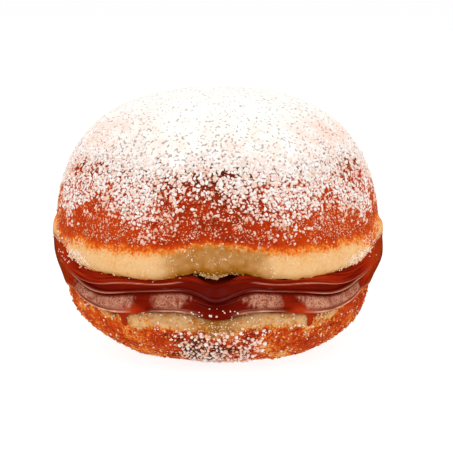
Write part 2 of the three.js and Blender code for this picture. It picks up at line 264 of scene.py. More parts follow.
def grain_cover(phi, z):
    """Share of the dome that lumps of sugar cover: a belt of them, then more up to the closed bed."""
    foot = 37.0 + 2.0 * hump(phi, 0, 9) - 2.5 * hump(phi, 15, 7) - 4.5 * twins(phi, 27, 8)
    foot = foot + 1.5 * hump(phi, -14, 6) + 2.4 * twins(phi, 43, 6) + 0.5 * np.sin(5 * phi + 0.8)
    foot = foot - 1.5 * twins(phi, 64, 8)
    rise = 14 - 7 * twins(phi, 62, 11)
    cover = GRAINS_COVER * smoothstep(z, foot, foot + rise) + (1 - GRAINS_COVER) * smoothstep(z, 50, 60)
    bare = 0.25 * hump(phi, -14, 8) + 0.1 * hump(phi, 0, 6) + 0.15 * hump(phi, 13, 6)
    bare = bare * bell(z, 50, 5) + 0.5 * twins(phi, 66, 10) * bell(z, 51.5, 4)
    bare = bare + (0.2 * twins(phi, 50, 16) + 0.3 * hump(phi, 0, 12)) * bell(z, 54, 2.5)
    return cover * (1 - bare)


def bed_share(phi, z):
    """How far the closed bed of sugar has begun, from below 0 under its edge to 1 where it is whole."""
    edge = BED_EDGE + 2.3 * twins(phi, 54, 22) - 1.3 * twins(phi, 27, 8) + hump(phi, 0, 12)
    edge = edge + 0.6 * np.sin(7 * phi)
    return (z - edge) / BED_FADE


def pale_band(phi):
    """Height of the pale dough under the rim of the bottom half."""
    front, side = bell(from_front(phi), 0, 39, 10), bell(from_front(phi), 90, 36, 8)
    return 2.4 + 2.0 * front - 3.2 * side + 2.6 * hump(phi, 68, 8) + 1.0 * hump(phi, -70, 6)


def hollow(phi):
    return hump(phi, 0, HOLLOW_WIDTH)


def cleft(phi):
    return CLEFT_DEPTH * bell(from_front(phi), 0, CLEFT_WIDTH, 6)


def sheet(phi):
    """Share of the smooth sheet that the filling is at both sides."""
    away = from_front(phi)
    return smoothstep(away, SHEET_START, SHEET_START + SHEET_BLEND) * (
        1 - smoothstep(away, SHEET_END - SHEET_BLEND, SHEET_END)
    )


def valleys(phi):
    """Where the lower lobe of the filling is pinched."""
    return twins(phi, 30, 5) + twins(phi, 141, 5) + twins(phi, 158, 4)


def upper_face(radius, phi):
    """Height of the seam between the filling and the top half."""
    return lerp(CORE_LIP, lip_height(phi), smoothstep(radius, CORE_RADIUS, LIP_RADIUS))


def lower_face(radius, phi):
    """Height of the seam between the filling and the bottom half."""
    return lerp(CORE_RIM, rim_height(phi), smoothstep(radius, CORE_RADIUS, RIM_RADIUS))


def filling_ends(phi):
    """Heights of the filling's side at its foot and at its top."""
    return rim_height(phi) + GAP / 2 - SINK, lip_height(phi) - GAP / 2 - HOLLOW_DROP * hollow(phi)


def dome_radius(z, phi):
    share = (z - EQUATOR) / (CROWN - EQUATOR)
    return superellipse(share, DOME_SQUARENESS) * (DOME_RADIUS + DOUGH_WAVE * unevenness(phi, z))


def collar_radius(phi):
    return COLLAR_RADIUS + FILLING_WAVE * unevenness(phi, 0)


def bowl_radius(z, phi):
    share = np.clip(1 - z / BOWL_EQUATOR, 0, 1)
    wave = DOUGH_WAVE * unevenness(phi + 1.7, z) * smoothstep(z, 0, 8)
    lean = BOWL_LEAN * (np.sin(phi) - 0.5) * (1 - smoothstep(z, 3, 13))
    foot = BOWL_FOOT * (twins(phi, 42, 16) + 0.4 * hump(phi, -46, 12)) * (1 - smoothstep(z, 0, 6))
    wall = lerp(FLAT_RADIUS, BOWL_RADIUS, superellipse(share, BOWL_SQUARENESS))
    waist = bell(from_front(phi), 82, 24, 4) * smoothstep(z, 3, 9)
    return wall + wave + lean + foot - 0.4 * (1 - np.sin(phi)) * waist


def lip_round(phi):
    return LIP_ROUND * (1 - 0.6 * sheet(phi))


def line_at(line, phi):
    """A table of (degrees from the front, value) at an angle, eased between its entries."""
    away, values = np.array(line).T
    spread = np.radians(1.5) * np.arange(-2, 3)
    return np.interp(from_front(phi[..., None] + spread), away, values).mean(-1)


def step_share(step, phi):
    """Share of the filling's height at a step up its edge, which the ridges shift."""
    ridge, crest = line_at(RIDGE_LINE, phi), line_at(CREST_LINE, phi)
    knots = (0, BEAD_STEP, RIDGE_STEP - 0.045, RIDGE_STEP, RIDGE_STEP + 0.06, CREST_STEP, 1)
    shares = (0, BEAD_SHARE, ridge - 0.05, ridge, ridge + 0.04, np.maximum(crest, ridge + 0.06), 1)
    k = max(n for n in range(len(knots) - 1) if knots[n] <= step)
    return lerp(shares[k], shares[k + 1], (step - knots[k]) / (knots[k + 1] - knots[k]))


def crown_profile():
    """The dome's curve from the crown down: distance along it, share of the radius, and height."""
    z = CROWN - (CROWN - EQUATOR) * np.linspace(0, 1, 6000) ** 3
    share = superellipse((z - EQUATOR) / (CROWN - EQUATOR), DOME_SQUARENESS)
    steps = np.hypot(np.diff(share * DOME_RADIUS), np.diff(z))
    return np.concatenate([[0], np.cumsum(steps)]), share, z


# ---- Noise ----

WORD = np.uint64(0xFFFFFFFF)
CELL_START = 1000.0  # keeps the numbers of the cells above 0


def hashed(cells, seed):
    """A repeatable random number from 0 to 1 for each whole-number cell."""
    mixed = (cells.astype(np.uint64) * np.array([73856093, 19349663, 83492791], np.uint64)).sum(-1)
    mixed = (mixed + np.uint64(seed * 2654435761)) & WORD
    for shift, factor in ((16, 0x7FEB352D), (15, 0x846CA68B)):
        mixed = ((mixed ^ (mixed >> np.uint64(shift))) * np.uint64(factor)) & WORD
    mixed ^= mixed >> np.uint64(16)
    return mixed.astype(float) / 0xFFFFFFFF


def noise(points, size, seed=0):
    """Smooth random waves about this many millimetres long, from -1 to 1."""
    scaled = points / size + CELL_START
    cell = np.floor(scaled).astype(np.int64)
    part = scaled - cell
    part = part * part * (3 - 2 * part)
    total = 0
    for corner in itertools.product((0, 1), repeat=3):
        weight = np.prod(np.where(corner, part, 1 - part), axis=-1)
        total = total + weight * hashed(cell + np.array(corner), seed)
    return 2 * total - 1


def spots(points, size, seed=0):
    """Distance in millimetres to the nearest of scattered spots, one in each cell of this size."""
    cell = np.floor(points / size + CELL_START).astype(np.int64)
    nearest = np.full(points.shape[:-1], np.inf)
    for corner in itertools.product((-1, 0, 1), repeat=3):
        other = cell + np.array(corner)
        jitter = np.stack([hashed(other, seed + k) for k in range(3)], -1)
        spot = (other + jitter - CELL_START) * size
        nearest = np.minimum(nearest, np.linalg.norm(points - spot, axis=-1))
    return nearest


# ---- Meshes ----


def angles(segments):
    return np.arange(segments) * 2 * np.pi / segments


def place(radius, phi, z):
    """Points in millimetres from cylindrical places."""
    radius, phi, z = np.broadcast_arrays(radius, phi, z)
    return np.stack([radius * np.sin(phi), -radius * np.cos(phi), z], -1)


def rings_of(pairs, phi):
    """An array of rings from pairs of radius and height, each a number or one value per angle."""
    return np.array([np.stack(np.broadcast_arrays(*pair, phi)[:2], -1) for pair in pairs])


def placed(rings, phi):
    """Points in millimetres from an array of (radius, height) rings."""
    return place(rings[..., 0], phi, rings[..., 1])


def seam(face, offset, radii, phi):
    """Rings of points at some radii, this far above the height that a face function gives."""
    return placed(rings_of([(radius, face(radius, phi) + offset) for radius in radii], phi), phi)


def smooth_rings(rings, spacing, change=None, coarse=None):
    """More rings through the given (radius, height) rings, about this far apart along the profile.

    From the ring numbered change on, they are the coarse spacing apart.
    """
    steps = np.linalg.norm(np.diff(rings, axis=0), axis=-1).mean(-1)
    at = np.concatenate([[0], np.cumsum(steps)])
    slopes = np.gradient(rings, at, axis=0)
    turn = at[-1] if change is None else at[change]
    wanted = np.linspace(0, turn, int(round(turn / spacing)) + 1)
    if change is not None:
        rest = np.linspace(turn, at[-1], int(round((at[-1] - turn) / coarse)) + 1)
        wanted = np.concatenate([wanted, rest[1:]])
    k = np.clip(np.searchsorted(at, wanted, side="right") - 1, 0, len(at) - 2)
    span = (at[k + 1] - at[k])[:, None, None]
    t = ((wanted - at[k]) / (at[k + 1] - at[k]))[:, None, None]
    return (
        (2 * t**3 - 3 * t**2 + 1) * rings[k]
        + (t**3 - 2 * t**2 + t) * span * slopes[k]
        + (3 * t**2 - 2 * t**3) * rings[k + 1]
        + (t**3 - t**2) * span * slopes[k + 1]
    )


def grid_normals(points):
    """Outward normals of a grid of points: rings from bottom to top, closed round the axis."""
    around = np.roll(points, -1, axis=1) - np.roll(points, 1, axis=1)
    normals = np.cross(around, np.gradient(points, axis=0))
    return normals / np.maximum(np.linalg.norm(normals, axis=-1, keepdims=True), 1e-12)


def pushed_out(points, distance):
    """A grid of points moved this far along its normals."""
    return points + grid_normals(points) * distance[..., None]


def closed_rings(points, bottom, top):
    """Vertices and faces of a closed body: rings from bottom to top, with a pole at each end."""
    rings, segments = points.shape[:2]
    vertices = np.concatenate([points.reshape(-1, 3), [(0, 0, bottom), (0, 0, top)]])
    i = np.arange(segments)
    following = (i + 1) % segments
    k = np.arange(rings - 1)[:, None] * segments
    quads = np.stack([k + i, k + following, k + segments + following, k + segments + i], -1)
    first, last = rings * segments, (rings - 1) * segments
    caps = [
        np.stack([np.full(segments, first), following, i], -1),
        np.stack([last + i, last + following, np.full(segments, first + 1)], -1),
    ]
    return vertices, [*quads.reshape(-1, 4).tolist(), *np.concatenate(caps).tolist()]


def with_poles(values, bottom=0, top=0):
    """The values of a grid of points in the order of closed_rings, which ends with the two poles."""
    return np.append(values.ravel(), [bottom, top])


def mesh_object(name, vertices, faces, attributes=None):
    """A smooth object from vertices in millimetres, with named values for each vertex."""
    mesh = bpy.data.meshes.new(name)
    mesh.from_pydata((vertices * MM).tolist(), [], faces if isinstance(faces, list) else faces.tolist())
    for key, values in (attributes or {}).items():
        values = np.asarray(values, np.float32)
        vector = values.ndim == 2
        layer = mesh.attributes.new(key, "FLOAT_VECTOR" if vector else "FLOAT", "POINT")
        layer.data.foreach_set("vector" if vector else "value", values.ravel())
    mesh.polygons.foreach_set("use_smooth", np.ones(len(mesh.polygons), bool))
    mesh.update()
    made = bpy.data.objects.new(name, mesh)
    bpy.context.scene.collection.objects.link(made)
    return made


def finish_piece(piece, material, node=None):
    """Gives a piece its material and body, and hides the node that it stands for."""
    piece.data.materials.append(material)
    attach(piece, BODY)
    if node:
        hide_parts(node)


# ---- Grains ----


def ball(level):
    """A unit ball of triangles: 8 faces at level 0, 20 at level 1 and 80 at level 2."""
    if level == 0:
        corners = np.array([(1, 0, 0), (-1, 0, 0), (0, 1, 0), (0, -1, 0), (0, 0, 1), (0, 0, -1)], float)
        upper = [(0, 2, 4), (2, 1, 4), (1, 3, 4), (3, 0, 4)]
        return corners, np.array(upper + [(b, a, 5) for a, b, _ in upper])
    golden = (1 + 5**0.5) / 2
    corners = [
        (-1, golden, 0), (1, golden, 0), (-1, -golden, 0), (1, -golden, 0),
        (0, -1, golden), (0, 1, golden), (0, -1, -golden), (0, 1, -golden),
        (golden, 0, -1), (golden, 0, 1), (-golden, 0, -1), (-golden, 0, 1),
    ]
    faces = [
        (0, 11, 5), (0, 5, 1), (0, 1, 7), (0, 7, 10), (0, 10, 11),
        (1, 5, 9), (5, 11, 4), (11, 10, 2), (10, 7, 6), (7, 1, 8),
        (3, 9, 4), (3, 4, 2), (3, 2, 6), (3, 6, 8), (3, 8, 9),
        (4, 9, 5), (2, 4, 11), (6, 2, 10), (8, 6, 7), (9, 8, 1),
    ]
    points = [Vector(c).normalized() for c in corners]
    for _ in range(level - 1):
        middles = {}
        finer = []
        for face in faces:
            mids = []
            for a, b in zip(face, face[1:] + face[:1]):
                key = (min(a, b), max(a, b))
                if key not in middles:
                    middles[key] = len(points)
                    points.append((points[a] + points[b]).normalized())
                mids.append(middles[key])
            a, b, c = face
            ab, bc, ca = mids
            finer += [(a, ab, ca), (b, bc, ab), (c, ca, bc), (ab, bc, ca)]
        faces = finer
    return np.array(points), np.array(faces)


def scattered(centres, normals, sizes, flatness, roughness, level, rng, stretch=1.0):
    """Vertices and faces of lumps at some places: each turned at random, uneven and flattened."""
    unit, faces = ball(level)
    count, corners = len(centres), len(unit)
    lumps = unit[None] * (1 + roughness * (rng.random((count, corners, 1)) - 0.5) * 2)
    lumps = lumps * lerp(0.7, 1.25, rng.random((count, 1, 3))) * (stretch, 1, 1)
    axes = rng.normal(size=(count, 2, 3))
    first = axes[:, 0] / np.linalg.norm(axes[:, 0], axis=-1, keepdims=True)
    second = np.cross(first, axes[:, 1])
    second /= np.linalg.norm(second, axis=-1, keepdims=True)
    turn = np.stack([first, second, np.cross(first, second)], 1)
    lumps = np.einsum("nvi,nij->nvj", lumps, turn) * sizes[:, None, None]
    along = np.einsum("nvj,nj->nv", lumps, normals)[..., None] * normals[:, None]
    lumps = lumps - (1 - flatness) * along + centres[:, None]
    numbered = faces[None] + corners * np.arange(count)[:, None, None]
    return lumps.reshape(-1, 3), numbered.reshape(-1, 3)


def joined(*heaps):
    """Vertices and faces of several heaps of lumps as one."""
    starts = np.cumsum([0] + [len(vertices) for vertices, _ in heaps])
    faces = [numbered + start for (_, numbered), start in zip(heaps, starts)]
    return np.concatenate([vertices for vertices, _ in heaps]), np.concatenate(faces)


def on_corners(values, vertices):
    """One value for each lump, repeated for its corners."""
    return np.repeat(values, len(vertices) // len(values))


def wall_places(radius_of, phi, z):
    """Places on a wall of revolution and the directions straight out of it."""
    up, turn = 0.05, 0.05 / 45
    here = place(radius_of(z, phi), phi, z)
    above = place(radius_of(z + up, phi), phi, z + up)
    beside = place(radius_of(z, phi + turn), phi + turn, z)
    normals = np.cross(beside - here, above - here)
    return here, normals / np.linalg.norm(normals, axis=-1, keepdims=True)


# ---- Materials ----

# Colours in sRGB. On a ramp: (place from 0 to 1, colour).
CRUST_COLOURS = (
    (0.0, 0xDEB27E), (0.2, 0xDAA468), (0.36, 0xDA7826), (0.5, 0xC2440A), (0.75, 0xA62A02), (1.0, 0x501A08),
)
CARAMEL_COLOURS = (
    (0.0, 0x4E0500), (0.24, 0x701203), (0.48, 0x9A2206), (0.66, 0xAE3A0E), (0.8, 0xBE642A), (1.0, 0xE0A486),
)
# The darker crumb colour that the shade value mixes in: painted shade, and in the front dent also the tone
# of its torn crumb.
SHADED_CRUMB_COLOUR = 0x985C08
DUST_COLOUR = 0xF6DCCB
REFLECTION_COLOUR = 0xBE8468
HIGHLIGHT_COLOUR = 0xF0AC8A
SUGAR_COLOUR = 0xF3EFEA
PIT_SHADE_COLOUR = 0x6A5C54


def linear(colour):
    """An sRGB hex value as linear red, green, blue and alpha."""
    parts = [((colour >> shift) & 255) / 255 for shift in (16, 8, 0)]
    return [p / 12.92 if p <= 0.04045 else ((p + 0.055) / 1.055) ** 2.4 for p in parts] + [1.0]


def add(tree, kind, inputs=(), stops=(), **settings):
    """Adds a shader node and makes its settings, then fills its inputs, given by name or in order.

    An input takes a value, or a link from a socket or from the first output of another node.
    """
    made = tree.nodes.new("ShaderNode" + kind)
    for key, value in settings.items():
        setattr(made, key, value)
    for key, value in inputs.items() if isinstance(inputs, dict) else enumerate(inputs):
        if isinstance(value, bpy.types.Node):
            value = next(socket for socket in value.outputs if socket.enabled)
        if isinstance(value, bpy.types.NodeSocket):
            tree.links.new(value, made.inputs[key])
        else:
            made.inputs[key].default_value = value
    for index, (position, colour) in enumerate(stops):
        ramp = made.color_ramp.elements
        stop = ramp[index] if index < 2 else ramp.new(position)
        stop.position = position
        stop.color = linear(colour)
    return made


def new_material(name):
    material = bpy.data.materials.new(name)
    material.use_nodes = True
    material.node_tree.nodes.clear()
    return material, material.node_tree


def per_mm(size):
    """The scale of a pattern on coordinates in metres whose features are this many mm long."""
    return 1 / (size * MM)


def fried_dough(name, mottling=0.3):
    """Yeast dough fried in oil: a satin, mottled crust that pales to a soft matt crumb.

    The crust has a little gloss from the fat and fine pores. The crumb scatters light under its
    surface, which softens the pale ring. Fine sugar dust lies on the crust in specks.
    """
    material, tree = new_material(name)
    where = add(tree, "TexCoord").outputs["Object"]
    browning, dust, shade = [
        add(tree, "Attribute", attribute_name=key).outputs["Fac"]
        for key in ("browning", "dust", "shade")
    ]
    # Patches of the crust, the grain of the crumb and specks of dust: (mm long, detail). Single
    # grains of dust are too fine to show, so the specks are drawn as coarse as small heaps of them.
    mottle, grain, speck = [
        add(tree, "TexNoise", {"Vector": where, "Scale": per_mm(size), "Detail": detail})
        for size, detail in ((4, 4.0), (0.7, 3.0), (0.5, 1.0))
    ]
    shift = add(tree, "Math", (mottle, 0.4, -0.2), operation="MULTIPLY_ADD")
    fine = add(tree, "Math", (grain, -0.5), operation="ADD")
    amount = add(tree, "Math", (dust, 2.0, mottling), operation="MULTIPLY_ADD")
    fine = add(tree, "Math", (fine, amount), operation="MULTIPLY")
    browned = add(tree, "Math", (browning, shift), operation="ADD")
    browned = add(tree, "Math", (browned, fine), operation="ADD")
    baked = add(tree, "ValToRGB", {"Fac": browned}, CRUST_COLOURS)
    # Painted shade: the shade value turns the crust towards the darker crumb colour.
    torn = add(tree, "Mix", {"Factor": shade, "A": baked, "B": linear(SHADED_CRUMB_COLOUR)}, data_type="RGBA")

    # Dust shows where the speck noise is above a level that the dust value lowers.
    level = add(tree, "Math", (speck, dust), operation="ADD")
    dusted = add(tree, "MapRange", (level, 0.93, 1.0, 0.0, 0.85))
    colour = add(tree, "Mix", {"Factor": dusted, "A": torn, "B": linear(DUST_COLOUR)}, data_type="RGBA")
    shader = add(tree, "BsdfPrincipled", {
        "Base Color": colour,
        "Roughness": add(tree, "MapRange", (browned, 0.2, 0.8, 0.9, 0.55)),
        "Normal": add(tree, "Bump", {"Height": grain, "Strength": 0.6, "Distance": 0.3 * MM}),
        "IOR": 1.45,
        "Specular IOR Level": 0.06,
        "Subsurface Weight": 0.2,
        "Subsurface Radius": (1.0, 0.5, 0.25),
        "Subsurface Scale": 1.2 * MM,
    })
    add(tree, "OutputMaterial", {"Surface": shader})
    return material


def caramel_jam():
    """Caramel jam, boiled thick and spread with a knife: smooth, wet and glossy, deep red-brown.

    Light enters a thin edge and comes out orange. A pale, finely pitted patch on the lower lobe, with a
    rougher surface, is a painted reflection, and pale lines on the crests of its ridges and on the bead are
    painted highlights. The grooves by the ridges hold painted shade, and the inner faces are paler as
    painted light in the hollow under the lip.
    Drag lines from the knife run along the ridges.
    """
    material, tree = new_material("caramel_jam")
    where = add(tree, "TexCoord").outputs["Object"]
    thin, painted_reflection, drag, pale, dull = [
        add(tree, "Attribute", attribute_name=key).outputs["Fac"]
        for key in ("thin", "painted_reflection", "drag", "pale", "dull")
    ]
    # The coordinates of the drag lines are in their own sizes, so the noise on them has scale 1.
    lines = add(tree, "Attribute", attribute_name="lines").outputs["Vector"]
    # Clouds in the jam, drag lines and the pits of the painted reflection: (coordinates, scale, detail).
    cloud, streak, pits = [
        add(tree, "TexNoise", {"Vector": vector, "Scale": scale, "Detail": detail})
        for vector, scale, detail in ((where, per_mm(6), 2.0), (lines, 1.0, 2.0), (where, per_mm(0.4), 1.0))
    ]
    shift = add(tree, "Math", (cloud, 0.2, -0.1), operation="MULTIPLY_ADD")
    dragged = add(tree, "Math", (streak, -0.5), operation="ADD")
    dragged = add(tree, "Math", (dragged, drag), operation="MULTIPLY")
    depth = add(tree, "Math", (thin, shift), operation="ADD")
    depth = add(tree, "Math", (depth, dragged), operation="ADD")
    clear = add(tree, "ValToRGB", {"Fac": depth}, CARAMEL_COLOURS)
    # Painted reflection: a pale, finely pitted patch on the lower lobe.
    pitted = add(tree, "MapRange", (pits, 0.32, 0.54, 0.12, 1.0))
    reflected = add(tree, "Math", (painted_reflection, pitted), operation="MULTIPLY")
    colour = add(tree, "Mix", {"Factor": reflected, "A": clear, "B": linear(REFLECTION_COLOUR)}, data_type="RGBA")
    # Painted highlights on the crests, ridge tops and bead.
    colour = add(tree, "Mix", {"Factor": pale, "A": colour, "B": linear(HIGHLIGHT_COLOUR)}, data_type="RGBA")
    shader = add(tree, "BsdfPrincipled", {
        "Base Color": colour,
        "Normal": add(tree, "Bump", {"Height": dragged, "Strength": 0.4, "Distance": 0.25 * MM}),
        "Roughness": add(tree, "MapRange", (dull, 0.0, 1.0, 0.14, 0.6)),
        "IOR": 1.47,
        "Specular IOR Level": 0.16,
        "Subsurface Weight": 0.1,
        "Subsurface Radius": (1.0, 0.25, 0.08),
        "Subsurface Scale": 1.2 * MM,
    })
    add(tree, "OutputMaterial", {"Surface": shader})
    return material


def icing_sugar(name, thin_colour):
    """Icing sugar, sieved: a matt white powder with fine pits, tinted by the crust where thin."""
    material, tree = new_material(name)
    where = add(tree, "TexCoord").outputs["Object"]
    thin, pitted = [
        add(tree, "Attribute", attribute_name=key).outputs["Fac"] for key in ("thin", "pitted")
    ]
    # The powder and its pits: (mm long, detail). The powder's own grains, under 0.1 mm, are too
    # fine to show, so they are drawn 0.5 mm long.
    grain, pits = [
        add(tree, "TexNoise", {"Vector": where, "Scale": per_mm(size), "Detail": detail})
        for size, detail in ((0.5, 2.0), (0.7, 0.0))
    ]
    holes = add(tree, "Math", (pitted, -0.1, pits), operation="MULTIPLY_ADD")
    white = (*bpy.context.scene.sugar.colour, 1.0)
    tinted = add(tree, "Mix", {"Factor": thin, "A": white, "B": linear(thin_colour)}, data_type="RGBA")
    # The pits show the crust below in a grey-brown of painted shade.
    sunk = add(tree, "MapRange", (holes, 0.24, 0.31, 0.6, 0.0))
    colour = add(tree, "Mix", {"Factor": sunk, "A": tinted, "B": linear(PIT_SHADE_COLOUR)}, data_type="RGBA")
    shader = add(tree, "BsdfPrincipled", {
        "Base Color": colour,
        "Normal": add(tree, "Bump", {"Height": grain, "Strength": 0.35, "Distance": 0.15 * MM}),
        "Roughness": 0.95,
        "Specular IOR Level": 0.2,
        "Subsurface Weight": 0.3,
        "Subsurface Radius": (1.0, 0.9, 0.8),
        "Subsurface Scale": 0.5 * MM,
    })
    add(tree, "OutputMaterial", {"Surface": shader})
    return material


# ---- Settings ----


class SugarSettings(bpy.types.PropertyGroup):
    """How much icing sugar there is, and its colour."""

    depth: bpy.props.FloatProperty(
        name="Depth", description="Thickness of the sugar on the crown",
        default=SUGAR_DEPTH * MM, unit="LENGTH", subtype="DISTANCE",
    )
    flecks: bpy.props.IntProperty(
        name="Flecks", description="Small clumps tried on the dome, of which the thin places keep few",
        default=26000, min=0,
    )
    clumps: bpy.props.IntProperty(
        name="Clumps", description="Large clumps tried on the front of the bottom half",
        default=420, min=0,
    )
    lump: bpy.props.FloatProperty(
        name="Lump", description="Distance between the lumps of sugar where it is thin",
        default=0.8 * MM, unit="LENGTH", subtype="DISTANCE",
    )
    crumbs: bpy.props.IntProperty(
        name="Crumbs", description="Crumbs along the cut edges",
        default=1800, min=0,
    )
    colour: bpy.props.FloatVectorProperty(
        name="Colour", description="Colour of the sugar where it lies thick",
        default=linear(SUGAR_COLOUR)[:3], subtype="COLOR",
    )


class DoughSettings(bpy.types.PropertyGroup):
    """Fineness of the dough's surfaces."""

    spacing: bpy.props.FloatProperty(
        name="Spacing", description="Distance between rings on the crust",
        default=0.32 * MM, unit="LENGTH", subtype="DISTANCE",
    )


# ---- Halves of dough ----


class DOUGHNUT_OT_top_half(bpy.types.Operator):
    """Adds the browned dome and its pale ring."""

    bl_idname = "doughnut.top_half"
    bl_label = "Top half"

    def execute(self, context):
        phi = angles(SEGMENTS)
        collar, line, lip = collar_radius(phi), crust_line(phi), lip_height(phi)
        rings = [(LIP_RADIUS - 1, upper_face(LIP_RADIUS, phi) + GAP / 2)]
        for turn in (0.3, 0.6, 0.85, 1):
            angle = turn * np.pi / 2
            radius = lerp(LIP_RADIUS, collar, np.sin(angle)) - cleft(phi)
            rings.append((radius, lip + GAP / 2 + lip_round(phi) * (1 - np.cos(angle))))
        rings.append((collar - 0.8 * cleft(phi), lerp(lip + lip_round(phi), line, 0.55)))
        rings.append((dome_radius(line, phi) + COLLAR_STEP - 0.4 * cleft(phi), line - 0.8))
        for k in range(DOME_RINGS):
            z = lerp(line + 0.6, CROWN, np.sin(np.pi / 2 * k / (DOME_RINGS - 0.5)))
            rings.append((dome_radius(z, phi), z))
        spacing = context.scene.dough.spacing / MM
        points = placed(smooth_rings(rings_of(rings, phi), spacing, 12, 2.5 * spacing), phi)

        z = points[..., 2]
        crust = smoothstep(z, line - 1.5, line + 2)
        edge = 1 - smoothstep(z, lip + 0.4, lip + 2.2)
        under_sugar = smoothstep(z, BED_EDGE - 4, BED_EDGE)
        relief = crust * (1 - under_sugar) * (0.09 * noise(points, 6) + 0.05 * noise(points, 1.7, 1))
        relief += (1 - crust) * (0.2 * noise(points, 4, 2) + 0.11 * noise(points, 1.5, 3))
        relief += (1 - crust) * 0.06 * noise(points, 0.7, 4)
        relief += edge * 0.3 * noise(points, 1.2, 5)
        points = pushed_out(points, relief - 0.36 + 0.34 * crust)
        inner = seam(upper_face, GAP / 2, (CORE_RADIUS, MIDDLE_RADIUS), phi)
        points = np.concatenate([inner, points])
        vertices, faces = closed_rings(points, CORE_LIP + GAP / 2, CROWN - 0.1)

        z = points[..., 2]
        over_lip = z - lip
        ragged = 0.7 * noise(points, 5, 6) + 0.5 * noise(points, 1.6, 7)
        above = z - line + ragged + 0.75
        dent = bell(from_front(phi) + 1.5 * noise(points, 1.5, 9), 0, 17, 8)
        browning = 0.05 + 0.36 * smoothstep(above, -3.0, 0.6) + 0.22 * smoothstep(above, 0.0, 2.3)
        browning += 0.08 * smoothstep(z, 38, 48) + 0.22 * smoothstep(z, 48, 56)
        front = 0.13 + 0.08 * (1 - smoothstep(above, 1, 4))
        browning += front * hump(phi, 0, 24) * smoothstep(above, 0, 1.5)
        browning += 0.22 * twins(phi, 65, 4.5) * (1 - smoothstep(above, -1, 0))
        # Painted shadow in the dent at both sides of the shreds that hang over the hollow.
        low = 1 - smoothstep(over_lip + 0.8 * noise(points, 1.5, 10), 0.5, 4.5)
        browning += 0.1 * dent * (low * (twins(phi, 6, 3) + 0.4 * twins(phi, 12, 4)))
        # Painted shade: darker in the front dent, whose torn crumb is also darker, along the foot of the
        # ring over the lip, and tucked in over the hollow, where the dust is thinned as well.
        shade = 0.8 * dent * (1 - smoothstep(above, -1.2, 0.3)) * (0.9 + 0.2 * noise(points, 1.2, 8))
        foot = np.clip(1 - (over_lip + 0.4 * noise(points, 1.5, 18)) / 3.8, 0, 1) ** 1.4
        tucked_shade = hump(phi, 0, 19) * (1 - smoothstep(over_lip, 0.5, 4.5))
        shade = shade + 0.3 * foot + 0.4 * (1 - dent) * foot + 0.3 * tucked_shade
        # Painted shade: the dough is browned where the lip tucks over the filling.
        lip_shade = 1 - smoothstep(over_lip + 0.4 * ragged, 1.0, 2.2)
        browning += 0.33 * lip_shade * (1 - hump(phi, 0, 11))
        ring = 0.23 + 0.04 * dent + 0.11 * twins(phi, 66, 12) + 0.07 * noise(points, 1.6, 21)
        mound = twins(phi, 54, 5.5) * bell(over_lip, 3.2, 1.6)
        ring = (ring + 0.34 * mound) * (1 - 0.8 * tucked_shade)
        glow = twins(phi, 64, 14) * (1 - smoothstep(z, 40, 45))
        powder = (0.05 + 0.47 * grain_cover(phi, z)) * (1 - 0.9 * glow)
        dust = lerp(ring, powder, smoothstep(above, 0.2, 1.5))
        piece = mesh_object("top_crust", vertices, faces, {
            "browning": with_poles(browning, 0.1, 0.8),
            "shade": with_poles(shade),
            "dust": with_poles(dust, 0, 1),
        })
        finish_piece(piece, fried_dough("fried_dough_top"), "top_half")
        return {"FINISHED"}


